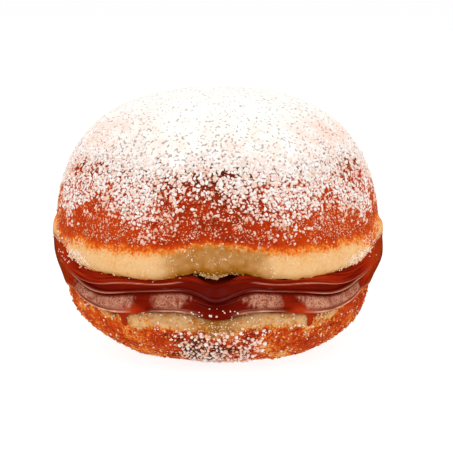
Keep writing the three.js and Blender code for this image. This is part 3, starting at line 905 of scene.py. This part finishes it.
class DOUGHNUT_OT_bottom_half(bpy.types.Operator):
    """Adds the browned bottom half with its pale rim."""

    bl_idname = "doughnut.bottom_half"
    bl_label = "Bottom half"

    def execute(self, context):
        phi = angles(BOWL_SEGMENTS)
        top, face = rim_height(phi), lower_face(BOWL_RADIUS, phi) - GAP / 2
        rings = [(FLAT_RADIUS - 3, 0), (FLAT_RADIUS, 0)]
        for k in range(1, BOWL_RINGS + 1):
            z = (k / BOWL_RINGS) ** 1.6 * (top - RIM_ROUND)
            rings.append((bowl_radius(z, phi), z))
        rim = bowl_radius(top, phi)
        rings += [(rim - 0.3 * RIM_ROUND, top - 0.3 * RIM_ROUND), (rim - RIM_ROUND, face)]
        points = placed(smooth_rings(rings_of(rings, phi), 1.3 * context.scene.dough.spacing / MM), phi)
        z = points[..., 2]
        relief = 0.16 * noise(points, 5, 11) + 0.16 * noise(points, 1.8, 12)
        relief += 0.12 * noise(points, 0.9, 13)
        relief *= smoothstep(z, 0.0, 1.5)
        points = pushed_out(points, relief - 0.15 * smoothstep(z, 0, 1))
        points[..., 2] = np.maximum(points[..., 2], 0)
        inner = seam(lower_face, -GAP / 2, (MIDDLE_RADIUS, CORE_RADIUS), phi)
        points = np.concatenate([points, inner])
        vertices, faces = closed_rings(points, 0, CORE_RIM - GAP / 2)

        ragged = 0.8 * noise(points, 4, 14) + 0.9 * noise(points, 1.4, 15)
        away, band = from_front(phi), pale_band(phi)
        front = bell(away, 0, 37, 24)
        below = top - points[..., 2] + ragged
        crust = smoothstep(below, band - 0.7, band + 0.9)
        browning = 0.1 + 0.36 * crust + 0.12 * (1 - front) * (1 - crust) + 0.09 * (1 - front)
        browning -= 0.05 * hump(phi, 38, 14) * crust
        browning += (0.1 + 0.14 * crust) * noise(points, 4, 16) + 0.12 * crust * noise(points, 1.6, 17)
        browning += 0.48 * hump(phi, -6, 17) * smoothstep(below, band + 0.5, band + 3)
        browning += 0.2 * twins(phi, 57, 9) * (1 - smoothstep(below, 1.5, 4))
        browning += 0.12 * twins(phi, 37, 4) * (1 - crust)
        browning -= 0.17 * twins(phi, 49, 7) * (1 - smoothstep(below, 1.0, 2.6))
        browning += 0.2 * noise(points, 2.2, 20) * twins(phi, 50, 10) * (1 - smoothstep(below, 3, 5))
        # Painted shade on the pale band under the filling, deepest at the front.
        shade = 0.18 + 0.7 * hump(phi, 0, 9) + 0.25 * noise(points, 1.4, 19)
        shade = shade * (1 - smoothstep(below, band, band + 1))
        piece = mesh_object("bottom_crust", vertices, faces, {
            "browning": with_poles(browning, 0.7, 0.1),
            "shade": with_poles(shade),
            "dust": with_poles(np.broadcast_to(0.3 * bell(away, 0, 40), below.shape)),
        })
        finish_piece(piece, fried_dough("fried_dough_bottom", 0.7), "bottom_half")
        return {"FINISHED"}


# ---- Filling ----


def drip_tube(angle):
    """A run of filling down the bottom half, as rings from its foot up, and its faces."""
    sides, steps = 20, 14
    mid = math.radians(angle)
    rim = rim_height(mid)
    k = np.arange(steps + 1)[:, None] / steps
    turn = angles(sides)
    z = rim + DRIP_OVERLAP - (1 - k) * (DRIP_LENGTH + DRIP_OVERLAP)
    low = (1 - k) ** 1.5
    swell = 0.6 * np.sqrt(np.clip(k / 0.15, 0, 1)) + 1.3 * smoothstep(k, 0.4, 0.85)
    wall = bowl_radius(np.minimum(z, rim - 0.5), mid)
    radius = wall - SINK + 0.5 * (1 + np.cos(turn)) * np.minimum(0.4 + 0.6 * swell, 1.1)
    around = mid + DRIP_SPREAD * swell * np.sin(turn) / wall
    points = place(radius, around, z - 0.2 * low)
    vertices, faces = closed_rings(points, 0, 0)
    vertices[-2:] = points[0].mean(0), points[-1].mean(0)
    return vertices, faces


def filling_wall(phi):
    """The filling's side as rings from bottom to top, and each point's share of its height."""
    foot, crown = filling_ends(phi)
    valley, middle = valleys(phi), hump(phi, 0, MIDDLE_WIDTH)
    recess = bell(from_front(phi), 0, 6.5, 4)
    pairs = []
    for step, stand in FILLING_EDGE:
        share = step_share(step, phi)
        sheet_stand = lerp(*SHEET_STAND, 1 - (1 - share) ** 2)
        drawn_in = cleft(phi) * lerp(0.25, 1.0, smoothstep(share, 0.1, 0.6))
        lobe = smoothstep(share, 0.08, 0.16) * (1 - smoothstep(share, 0.3, 0.5))
        smooth = LOBE_STAND if step < RIDGE_STEP - 0.1 else stand
        shaped = lerp(stand, smooth, np.clip(valley + middle, 0, 1)) - 0.35 * valley * lobe
        if step > RIDGE_STEP - 0.06:
            sunk = max(0, step - RIDGE_STEP) / (1 - RIDGE_STEP)
            shaped = lerp(shaped, lerp(LOBE_STAND, -0.6, sunk), recess)
        sheet_stand = sheet_stand + SHEET_BULGE * np.sin(np.pi * share) * np.maximum(np.sin(phi), 0)
        stand_out = lerp(shaped, sheet_stand, sheet(phi)) - drawn_in
        stand_out = stand_out + FILLING_WAVE * unevenness(phi, 20 * share)
        out = BOWL_RADIUS + stand_out + cleft(phi) - LIP_RADIUS
        out = np.clip(out / (COLLAR_RADIUS - LIP_RADIUS), 0, 0.9)
        close = np.minimum(lip_round(phi) * (1 - np.sqrt(1 - out**2)), 0.6) + 0.7 + 1.9 * hollow(phi)
        z = lerp(foot, crown, share) + close * smoothstep(share, 0.8, 1) * (1 - recess)
        z = z - 0.9 * sheet(phi) * (1 - smoothstep(share, 0, 0.2))
        pairs.append((BOWL_RADIUS + stand_out, z))
    points = placed(smooth_rings(rings_of(pairs, phi), FILLING_SPACING), phi)
    points = pushed_out(points, 0.1 * noise(points, 9, 21) + 0.04 * noise(points, 3.5, 22) - 0.1)
    return points, (points[..., 2] - foot) / (crown - foot)


def filling_looks(points, share, phi):
    """Values for the jam at each point of the filling's side."""
    away, open_side = from_front(phi), 1 - sheet(phi)
    valley, middle = valleys(phi), hump(phi, 0, MIDDLE_WIDTH)
    ridge, crest = line_at(RIDGE_LINE, phi), line_at(CREST_LINE, phi)
    over_ridge = share - ridge
    drawn_down = points * (1, 1, 0.2)

    over = smoothstep(share, crest + 0.02, crest + 0.06) * open_side * (1 - middle)
    thin = 0.25 + 0.27 * sheet(phi) + 0.1 * over + 0.15 * middle * smoothstep(share, 0.92, 1)
    thin = thin + valley * (0.36 * (1 - smoothstep(share, 0.1, 0.45)) - 0.05) * (share < ridge - 0.08)
    thin = thin - 0.15 * hump(phi, 0, 8) * bell(share, 0.4, 0.14)
    # Painted shade in the grooves just above and below the ridge.
    groove_shade = bell(over_ridge, 0.075, 0.03) + bell(over_ridge, -0.05, 0.02)
    thin = thin - 0.22 * groove_shade * open_side + 0.12 * twins(phi, 80, 12)
    # An orange ground under the crest's painted highlight.
    thin = thin + 0.3 * bell(share, crest, 0.028) * open_side * smoothstep(away, 11, 15)
    thin = thin + 0.3 * (1 - smoothstep(share, -0.02, 0.03)) - 0.12 * middle

    up = np.clip((share - 0.16) / (ridge - 0.23), 0, 1)
    streaks = 0.8 * noise(drawn_down, 0.55, 24) + 0.5 * noise(points, 2.5, 26)
    across = away + 2.8 * streaks
    # Painted reflection on the lower lobe, in streaky arcs under the ridge.
    painted_reflection = 0
    for start, end in REFLECTION_ARCS:
        inner = start + 5 * (1 - up)
        painted_reflection = painted_reflection + smoothstep(across, inner, inner + 5) * (1 - smoothstep(across, end - 4, end))
    painted_reflection = painted_reflection * smoothstep(share, 0.145, 0.18) * (1 - smoothstep(share, ridge - 0.09, ridge - 0.05))
    painted_reflection = painted_reflection * (0.85 + 0.6 * streaks) * smoothstep(1 - up, 0.0, 0.2)
    dull = np.maximum(0.7 * painted_reflection, 0.2 * middle * smoothstep(share, 0.3, 0.5))
    dull = np.maximum(dull, 0.5 * hump(phi, 0, 12) * bell(over_ridge, 0, 0.06))

    # Painted highlights: pale lines along the crest, the ridge tops and the bead; the lit mask leaves the
    # bead's out where it is pinched and in the middle.
    pale = 0.8 * bell(share, crest, 0.015) * smoothstep(away, 11, 15)
    ridge_top = bell(over_ridge, 0.012, 0.016) * smoothstep(away, 9, 16)
    pale += (0.35 + 0.4 * smoothstep(away, 26, 34)) * ridge_top * (1 - 0.7 * valley)
    lit = np.clip(1 - 1.3 * hump(phi, -27, 6) - 1.3 * hump(phi, 27, 6) - 1.2 * middle, 0, 1)
    bead = smoothstep(share, 0.04, 0.065) * (1 - smoothstep(share, 0.1, 0.125))
    pale += (bead * (0.85 + 0.4 * noise(points, 1.1, 27)) + 0.35 * bell(share, 0.15, 0.03)) * lit
    pale = pale * open_side * (0.8 + 0.4 * noise(drawn_down, 3, 25))

    foot, crown = filling_ends(phi)
    lines = (
        BOWL_RADIUS * np.sin(phi) / DRAG_LENGTH,
        BOWL_RADIUS * np.cos(phi) / DRAG_LENGTH,
        (share - crest) * (crown - foot) / DRAG_STEP,
    )
    return {
        "thin": thin,
        "painted_reflection": painted_reflection,
        "drag": (0.2 + 0.9 * over) * open_side,
        "pale": pale,
        "dull": dull,
        "lines": np.stack(np.broadcast_arrays(*lines), -1),
    }


class DOUGHNUT_OT_filling(bpy.types.Operator):
    """Adds the glossy caramel-coloured filling."""

    bl_idname = "doughnut.filling"
    bl_label = "Filling"

    def execute(self, context):
        phi = angles(SEGMENTS)
        wall, share = filling_wall(phi)
        edge = (LIP_RADIUS - 1 - HOLLOW_DEPTH * hollow(phi), filling_ends(phi)[1])
        lower = seam(lower_face, GAP / 2, (CORE_RADIUS, MIDDLE_RADIUS, RIM_RADIUS), phi)
        upper = seam(upper_face, -GAP / 2, (MIDDLE_RADIUS, CORE_RADIUS), phi)
        points = np.concatenate([lower, wall, placed(rings_of([edge], phi), phi), upper])
        vertices, faces = closed_rings(points, CORE_RIM + GAP / 2, CORE_LIP - GAP / 2)
        body = len(vertices)
        for angle in DRIP_ANGLES:
            more, more_faces = drip_tube(angle)
            faces += [[v + len(vertices) for v in face] for face in more_faces]
            vertices = np.concatenate([vertices, more])
        values = {}
        for key, grid in filling_looks(wall, share, phi).items():
            # Painted light: the inner faces are paler, so that the hollow under the lip shows dark red; the
            # runs down the bottom half have their own orange.
            inside_light, drips = (0.45, 0.54) if key == "thin" else (0, 0)
            start = lower.size // 3
            values[key] = np.full((len(vertices), *grid.shape[2:]), float(inside_light))
            values[key][start : start + share.size] = grid.reshape(share.size, *grid.shape[2:])
            values[key][body - 2 : body] = 0
            values[key][body:] = drips
        piece = mesh_object("caramel_filling", vertices, faces, values)
        finish_piece(piece, caramel_jam(), "filling")
        return {"FINISHED"}


# ---- Icing sugar ----


def grain_places(spacing):
    """Jittered places about this far apart on the dome, from its crown down to the pale ring."""
    lengths, shares, heights = crown_profile()
    reach = float(np.interp(-GRAINS_FOOT, -heights, lengths))
    rows = []
    for row in range(int(reach / (ROW_STEP * spacing))):
        share = np.interp(row * ROW_STEP * spacing, lengths, shares)
        count = max(6, int(round(2 * np.pi * share * DOME_RADIUS / spacing)))
        rows.append(np.stack([np.full(count, row), (np.arange(count) + 0.5 * (row % 2)) / count], -1))
    row, turn = np.concatenate(rows).T
    cell = np.stack([row, np.round(turn * 1e5), 0 * row], -1).astype(np.int64)
    distance = row * ROW_STEP * spacing + JITTER * spacing * (hashed(cell, 61) - 0.5)
    share = np.interp(distance, lengths, shares)
    around = np.maximum(share * DOME_RADIUS, 1e-9)
    phi = 2 * np.pi * turn + JITTER * spacing * (hashed(cell, 62) - 0.5) / around
    return phi, np.interp(distance, lengths, heights)


class DOUGHNUT_OT_sugar_grains(bpy.types.Operator):
    """Adds the lumps that icing sugar gathers into where it is thin on the dome."""

    bl_idname = "doughnut.sugar_grains"
    bl_label = "Sugar grains"

    def execute(self, context):
        rng = np.random.default_rng(59)
        spacing = context.scene.sugar.lump / MM
        phi, z = grain_places(spacing)
        near = bed_share(phi, z) < 0.8
        phi, z = phi[near], z[near]
        cover = grain_cover(phi, z)
        centres, normals = wall_places(dome_radius, phi, z)
        clusters = 0.8 * noise(centres, 1.8, 64) + 0.6 * noise(centres, 4.5, 63)
        chance = np.clip(cover / 0.7, 0, 1)
        chance = chance + 4 * chance * (1 - chance) * clusters
        kept = rng.random(len(phi)) < chance
        sizes = spacing * (0.4 + 0.26 * rng.random(len(phi)) + 0.1 * smoothstep(z, 46, 54))
        centres = (centres - normals * 0.08)[kept]
        vertices, faces = scattered(centres, normals[kept], sizes[kept], 0.65, 0.4, 1, rng, 1.4)
        tint = np.clip(0.85 - 0.95 * cover + 0.7 * (rng.random(len(phi)) - 0.5), 0, 1)[kept]
        piece = mesh_object("sugar_grains", vertices, faces, {"thin": on_corners(tint, vertices)})
        finish_piece(piece, icing_sugar("icing_sugar_grains", 0xE8A07C))
        return {"FINISHED"}


class DOUGHNUT_OT_sugar_cap(bpy.types.Operator):
    """Adds the icing sugar that lies thick on the crown and breaks up down the side."""

    bl_idname = "doughnut.sugar_cap"
    bl_label = "Sugar cap"

    def execute(self, context):
        lengths, shares, heights = crown_profile()
        reach = float(np.interp(3 - BED_EDGE, -heights, lengths))
        rows = int(reach / (CAP_SPACING * ROW_STEP)) + 1
        columns = int(reach / CAP_SPACING) + 1
        j, i = np.mgrid[-rows : rows + 1, -columns : columns + 1]
        u = (i + 0.5 * (j % 2)) * CAP_SPACING
        v = j * CAP_SPACING * ROW_STEP
        # The grid is drawn together towards its edge, where the small clumps are.
        flat = np.hypot(u, v) / reach
        distance = reach * (1.3 * flat - 0.3 * flat**2)
        phi = np.arctan2(u, -v)
        z = np.interp(distance, lengths, heights)
        share = np.interp(distance, lengths, shares)
        points = place(share * (DOME_RADIUS + DOUGH_WAVE * unevenness(phi, z)), phi, z)
        step = 0.1
        rise = (np.interp(distance + step, lengths, heights) - z) / step
        run = (np.interp(distance + step, lengths, shares) - share) * DOME_RADIUS / step
        normals = place(-rise, phi, run)
        normals /= np.linalg.norm(normals, axis=-1, keepdims=True)

        # How far the bed of sugar is above (positive) or below its lowest level that shows.
        field = np.minimum(bed_share(phi, z), 0.95) + 0.2 * noise(points, 5, 31)
        field = field + 0.3 * noise(points, 1.4, 32) + 0.8 * noise(points, 0.54, 33)
        pits = 1 - smoothstep(spots(points, 3.2, 36), 0.1, 0.45)
        pits = pits + twins(phi, 60, 18) * (1 - smoothstep(spots(points, 2.2, 37), 0.1, 0.4))
        field = field - 1.2 * pits * (1 - 0.7 * smoothstep(z, 62, 68))
        depth = context.scene.sugar.depth / MM
        bed = np.where(field > 0, depth * (1 - np.exp(-field / 0.35)), 0.8 * field)
        bed = np.clip(bed + 0.04 * noise(points, 0.9, 34), -0.35, depth)
        surface = points + normals * bed[..., None]

        shown = (bed > -0.12) & (flat < 1)
        index = np.arange(i.size).reshape(i.shape)
        odd = (j[:-1, :-1] % 2).astype(bool)
        a, b, c, d = index[:-1, :-1], index[:-1, 1:], index[1:, :-1], index[1:, 1:]
        halves = ((a, b, np.where(odd, d, c)), (np.where(odd, a, b), d, c))
        triangles = np.concatenate([np.stack(half, -1).reshape(-1, 3) for half in halves])
        triangles = triangles[shown.ravel()[triangles].any(-1)]
        triangles = triangles[(flat.ravel()[triangles] < 1).all(-1)]
        used, renumbered = np.unique(triangles, return_inverse=True)
        pitted = 1 - smoothstep(bed_share(phi, z), 0, 2.1)
        shoulders = 0.9 * twins(phi, 64, 17) * (1 - smoothstep(z, 61, 67))
        thinned = (0.7 * pitted + shoulders) * (0.6 + 0.8 * noise(points, 3, 35))
        thin = np.maximum(1 - smoothstep(field, 0.0, 0.5), thinned)
        values = {"thin": thin.ravel()[used], "pitted": pitted.ravel()[used]}
        vertices, faces = surface.reshape(-1, 3)[used], renumbered.reshape(-1, 3)
        piece = mesh_object("sugar_cap", vertices, faces, values)
        finish_piece(piece, icing_sugar("icing_sugar_cap", 0xF4D3C6))
        return {"FINISHED"}


class DOUGHNUT_OT_sugar_flecks(bpy.types.Operator):
    """Adds the small clumps of sugar on the dome below the cap."""

    bl_idname = "doughnut.sugar_flecks"
    bl_label = "Sugar flecks"

    def execute(self, context):
        rng = np.random.default_rng(71)
        count = context.scene.sugar.flecks
        phi = rng.uniform(-np.pi, np.pi, count)
        z = lerp(GRAINS_FOOT, BED_EDGE, rng.random(count) ** 1.3)
        centres, normals = wall_places(dome_radius, phi, z)
        low = 1 - smoothstep(z, 42, 47)
        chance = (0.4 + 0.28 * low + 0.25 * twins(phi, 34, 16)) * (0.8 + 0.9 * noise(centres, 2.6, 51))
        chance *= smoothstep(z, crust_line(phi) - 0.6, crust_line(phi) + 2.4) * (z < BED_EDGE - 2)
        chance *= 1 - 0.45 * twins(phi, 63, 11) * (1 - smoothstep(z, 39, 42))
        kept = rng.random(count) < chance
        sizes = 0.13 + 0.2 * rng.random(count) ** 2
        centres = (centres + normals * (0.1 * sizes)[:, None])[kept]
        vertices, faces = scattered(centres, normals[kept], sizes[kept], 0.6, 0.28, 0, rng)
        tint = 0.5 + 0.5 * rng.random(len(centres)) + 0.25 * twins(phi[kept], 66, 16)
        piece = mesh_object("sugar_flecks", vertices, faces, {"thin": on_corners(tint, vertices)})
        finish_piece(piece, icing_sugar("icing_sugar_flecks", 0xE48648))
        return {"FINISHED"}


class DOUGHNUT_OT_sugar_clumps(bpy.types.Operator):
    """Adds the coarse clumps of sugar on the front of the bottom half, and fine ones round it."""

    bl_idname = "doughnut.sugar_clumps"
    bl_label = "Sugar clumps"

    def execute(self, context):
        rng = np.random.default_rng(83)
        count = context.scene.sugar.clumps
        phi = np.radians(rng.uniform(-19, 19, count))
        z = rng.uniform(0.9, 13.5, count)
        centres, normals = wall_places(bowl_radius, phi, z)
        sizes = 0.26 + 0.32 * rng.random(count)
        apart = np.ones(count, bool)
        for n in range(1, count):
            near = np.linalg.norm(centres[:n] - centres[n], axis=-1) < 1.5 * np.maximum(sizes[:n], sizes[n])
            apart[n] = not (near & apart[:n]).any()
        kept = apart & (np.abs(np.degrees(phi)) + 3 * noise(centres, 4, 61) < 17)
        centres = (centres + normals * 0.1)[kept]
        coarse = scattered(centres, normals[kept], sizes[kept], 0.8, 0.25, 2, rng)
        coarse_count = len(centres)

        count = FINE_CLUMPS
        phi = rng.uniform(-np.pi, np.pi, count)
        z = rng.uniform(1.0, 17.0, count)
        centres, normals = wall_places(bowl_radius, phi, z)
        away = from_front(phi)
        kept = rng.random(count) < 0.15 + 0.7 * bell(away, 0, 22, 4)
        sizes = 0.1 + 0.22 * rng.random(count) ** 2
        fine = scattered(centres[kept], normals[kept], sizes[kept], 0.7, 0.28, 1, rng)
        browned = 0.5 * smoothstep(away[kept], 20, 28)
        heaps = ((coarse, coarse_count, 0), (fine, len(browned), browned))
        tint = [
            on_corners(0.2 + more + 0.8 * rng.random(lumps), heap[0]) for heap, lumps, more in heaps
        ]
        piece = mesh_object("sugar_clumps", *joined(coarse, fine), {"thin": np.concatenate(tint)})
        finish_piece(piece, icing_sugar("icing_sugar_clumps", 0xEEB08C))
        return {"FINISHED"}


class DOUGHNUT_OT_sugar_crystals(bpy.types.Operator):
    """Adds the few grains of sugar that have rolled onto the filling."""

    bl_idname = "doughnut.sugar_crystals"
    bl_label = "Sugar crystals"

    def execute(self, context):
        rng = np.random.default_rng(107)
        phi = angles(SEGMENTS)
        points, share = filling_wall(phi)
        away = from_front(phi)
        near = (away < 11)[None] & (share > 0.03) & (share < 0.34) & (share < 0.4 - 0.024 * away)
        ends = (np.abs(away - 67) < 5)[None] & (share > 0.78) & (share < 0.94)
        chosen = [rng.choice(np.flatnonzero(part), count) for part, count in ((near, 20), (ends, 12))]
        chosen = np.concatenate(chosen)
        centres, normals = points.reshape(-1, 3)[chosen], grid_normals(points).reshape(-1, 3)[chosen]
        sizes = 0.14 + 0.13 * rng.random(len(chosen))
        vertices, faces = scattered(centres, normals, sizes, 0.8, 0.3, 1, rng, 1.5)
        tint = on_corners(0.3 + 0.7 * rng.random(len(chosen)), vertices)
        piece = mesh_object("sugar_crystals", vertices, faces, {"thin": tint})
        finish_piece(piece, icing_sugar("icing_sugar_crystals", 0xE8B8A8))
        return {"FINISHED"}


# ---- Crumbs ----


class DOUGHNUT_OT_crust_crumbs(bpy.types.Operator):
    """Adds the fried crumbs that roughen the crust of the bottom half."""

    bl_idname = "doughnut.crust_crumbs"
    bl_label = "Crust crumbs"

    def execute(self, context):
        rng = np.random.default_rng(89)
        count = CRUST_CRUMBS
        phi = rng.uniform(-np.pi, np.pi, count)
        z = rng.uniform(0.8, 17.5, count)
        centres, normals = wall_places(bowl_radius, phi, z)
        kept = rng.random(count) < 0.5 + 0.7 * noise(centres, 2.5, 71)
        centres = (centres - normals * 0.15)[kept]
        sizes = (0.14 + 0.32 * rng.random(count) ** 2)[kept]
        vertices, faces = scattered(centres, normals[kept], sizes, 0.8, 0.35, 1, rng, 1.5)
        phi, z = phi[kept], z[kept]
        crust = smoothstep(rim_height(phi) - z, pale_band(phi) - 0.7, pale_band(phi) + 0.9)
        browning = lerp(0.03, 0.24, crust) + lerp(0.2, 0.6, crust) * rng.random(len(sizes)) ** 2
        dust = np.where(rng.random(len(sizes)) < lerp(0.4, 0.22, crust), 0.5, 0)
        piece = mesh_object("crust_crumbs", vertices, faces, {
            "browning": on_corners(browning, vertices),
            "shade": np.zeros(len(vertices)),
            "dust": on_corners(dust, vertices),
        })
        finish_piece(piece, fried_dough("fried_dough_crumb"))
        return {"FINISHED"}


class DOUGHNUT_OT_crumbs(bpy.types.Operator):
    """Adds the torn crumbs along the edge of the pale ring."""

    bl_idname = "doughnut.crumbs"
    bl_label = "Crumbs"

    def execute(self, context):
        rng = np.random.default_rng(97)
        count = context.scene.sugar.crumbs
        phi = rng.uniform(-np.pi, np.pi, count)
        turn = rng.uniform(0.25, 1.3, count)
        away = np.radians(from_front(phi))
        kept = rng.random(count) < 0.12 + 0.5 * bell(from_front(phi), 0, 8, 4) + 0.7 * hump(away, 66, 7)
        phi, turn, away, count = phi[kept], turn[kept], away[kept], int(kept.sum())
        radius = lerp(LIP_RADIUS, collar_radius(phi), np.sin(turn)) - cleft(phi) - 0.3
        z = lip_height(phi) + GAP / 2 + lip_round(phi) * (1 - np.cos(turn))
        centres = place(radius, phi, z)
        normals = place(np.sin(turn), phi, -np.cos(turn))
        sizes = (0.12 + 0.25 * rng.random(count) ** 2) * (1 + 0.5 * hump(away, 66, 9))
        lumps = scattered(centres, normals, sizes, 0.8, 0.35, 1, rng)
        some = rng.random(count) < 0.16
        strands = scattered(centres[some], normals[some], 0.8 * sizes[some], 1, 0.2, 1, rng, 4.0)

        # Heaps of crumbs on the ring at both sides of the front.
        count = HEAPED_CRUMBS
        phi = np.radians(rng.normal(0, 3.5, count) + rng.choice((-HEAP_ANGLE, HEAP_ANGLE), count))
        z = lip_height(phi) + 2.0 + 3.0 * rng.random(count)
        centres, normals = place(collar_radius(phi) - 0.35, phi, z), place(1, phi, 0)
        heaps = scattered(centres, normals, 0.14 + 0.22 * rng.random(count), 0.8, 0.35, 1, rng)

        # Shreds that hang from the lip over the hollow.
        count = SHREDS
        phi = np.radians(rng.normal(-1.2, 2.2, count))
        sag = np.clip(1 - np.abs(np.degrees(phi) + 1.2) / 5, 0, 1)
        z = lip_height(phi) + 0.6 - 0.9 * sag * rng.random(count)
        centres = place(LIP_RADIUS - cleft(phi) + 0.8 + 0.8 * rng.random(count), phi, z)
        sizes = 0.16 + 0.2 * rng.random(count)
        shreds = scattered(centres, place(1, phi, 0), sizes, 1, 0.35, 1, rng, 2.2)

        vertices, faces = joined(lumps, strands, heaps, shreds)
        shade = bell(np.degrees(np.abs(np.arctan2(vertices[:, 0], -vertices[:, 1]))), 0, 17, 8)
        piece = mesh_object("crumbs", vertices, faces, {
            "browning": np.full(len(vertices), 0.05),
            "shade": 0.3 * shade,
            "dust": 0.5 - 0.2 * shade,
        })
        finish_piece(piece, fried_dough("fried_dough_torn"))
        return {"FINISHED"}


# ---- Stage ----

CAMERA_DISTANCE = 450 * MM
CAMERA_ELEVATION = 12
CAMERA_AIM = Vector((2.4, 0, 32.2)) * MM
CAMERA_LENS = 129.1
LIGHT_DISTANCE = 0.8
FLOOR_HALF = 4.0


def direction(azimuth, elevation):
    """Towards an azimuth from the front and an elevation, in degrees."""
    a, e = math.radians(azimuth), math.radians(elevation)
    return Vector((math.sin(a) * math.cos(e), -math.cos(a) * math.cos(e), math.sin(e)))


def aimed(made, at):
    """Puts a light or camera at a place and turns it to look at the doughnut."""
    made.location = at
    made.rotation_euler = (CAMERA_AIM - at).to_track_quat("-Z", "Y").to_euler()
    bpy.context.scene.collection.objects.link(made)


def soft_box(name, azimuth, elevation, size, power, glossy=True, diffuse=True):
    """A rectangular soft light, sized in metres, with its power in watts."""
    light = bpy.data.lights.new(name, "AREA")
    light.shape = "RECTANGLE"
    light.size, light.size_y = size
    light.energy = power
    box = bpy.data.objects.new(name, light)
    box.visible_glossy = glossy
    box.visible_diffuse = diffuse
    aimed(box, CAMERA_AIM + direction(azimuth, elevation) * LIGHT_DISTANCE)


class DOUGHNUT_OT_stage(bpy.types.Operator):
    """Adds the pale floor, the lights and the camera."""

    bl_idname = "doughnut.stage"
    bl_label = "Stage"

    def execute(self, context):
        camera = bpy.data.objects.new("camera", bpy.data.cameras.new("camera"))
        camera.data.lens = CAMERA_LENS
        camera.data.clip_start = 0.01
        aimed(camera, CAMERA_AIM + direction(0, CAMERA_ELEVATION) * CAMERA_DISTANCE)
        context.scene.camera = camera

        corners = np.array([(-1, -1, 0), (1, -1, 0), (1, 1, 0), (-1, 1, 0)]) * FLOOR_HALF / MM
        floor = mesh_object("floor", corners, [(0, 1, 2, 3)])
        material, tree = new_material("floor_paint")
        shader = add(tree, "BsdfPrincipled", {
            "Base Color": linear(0x808080),
            "Roughness": 0.9,
            "Emission Color": linear(0xFFFFFF),
            "Emission Strength": 0.88,
        })
        add(tree, "OutputMaterial", {"Surface": shader})
        floor.data.materials.append(material)
        floor.visible_glossy = False

        soft_box("key", 0, 62, (0.7, 0.4), 1.8, glossy=False)
        for side in (-1, 1):
            soft_box("near_panel", 32 * side, 26, (0.26, 0.5), 1.0, glossy=False)
            soft_box("sheen_panel", 32 * side, 50, (0.26, 0.5), 1.0, diffuse=False)
            soft_box("side_panel", 80 * side, 26, (0.4, 0.5), 1.5, glossy=False)
            soft_box("back_panel", 148 * side, 26, (0.26, 0.5), 1.0)

        world = bpy.data.worlds.new("studio")
        context.scene.world = world
        world.use_nodes = True
        world.node_tree.nodes.clear()
        surround = add(world.node_tree, "Background", {"Color": linear(0xFFFFFF), "Strength": 0.52})
        add(world.node_tree, "OutputWorld", {"Surface": surround})
        world.cycles_visibility.glossy = False
        context.scene.view_settings.view_transform = "Standard"
        return {"FINISHED"}


class DOUGHNUT_PT_sidebar(bpy.types.Panel):
    """Lists the pieces of the doughnut and their settings."""

    bl_label = "Filled doughnut"
    bl_space_type = "VIEW_3D"
    bl_region_type = "UI"
    bl_category = "Doughnut"

    def draw(self, context):
        for settings in (context.scene.dough, context.scene.sugar):
            for key in settings.__annotations__:
                self.layout.prop(settings, key)
        for operator in OPERATORS:
            self.layout.operator(operator.bl_idname)


OPERATORS = (
    DOUGHNUT_OT_stage,
    DOUGHNUT_OT_top_half,
    DOUGHNUT_OT_bottom_half,
    DOUGHNUT_OT_filling,
    DOUGHNUT_OT_sugar_cap,
    DOUGHNUT_OT_sugar_grains,
    DOUGHNUT_OT_sugar_flecks,
    DOUGHNUT_OT_sugar_clumps,
    DOUGHNUT_OT_sugar_crystals,
    DOUGHNUT_OT_crust_crumbs,
    DOUGHNUT_OT_crumbs,
)
CLASSES = (SugarSettings, DoughSettings, *OPERATORS, DOUGHNUT_PT_sidebar)


def register():
    for cls in CLASSES:
        bpy.utils.register_class(cls)
    bpy.types.Scene.sugar = bpy.props.PointerProperty(type=SugarSettings)
    bpy.types.Scene.dough = bpy.props.PointerProperty(type=DoughSettings)


def unregister():
    del bpy.types.Scene.dough
    del bpy.types.Scene.sugar
    for cls in reversed(CLASSES):
        bpy.utils.unregister_class(cls)


def main():
    register()
    for operator in OPERATORS:
        group, name = operator.bl_idname.split(".")
        getattr(getattr(bpy.ops, group), name)()


if __name__ == "__main__":
    main()
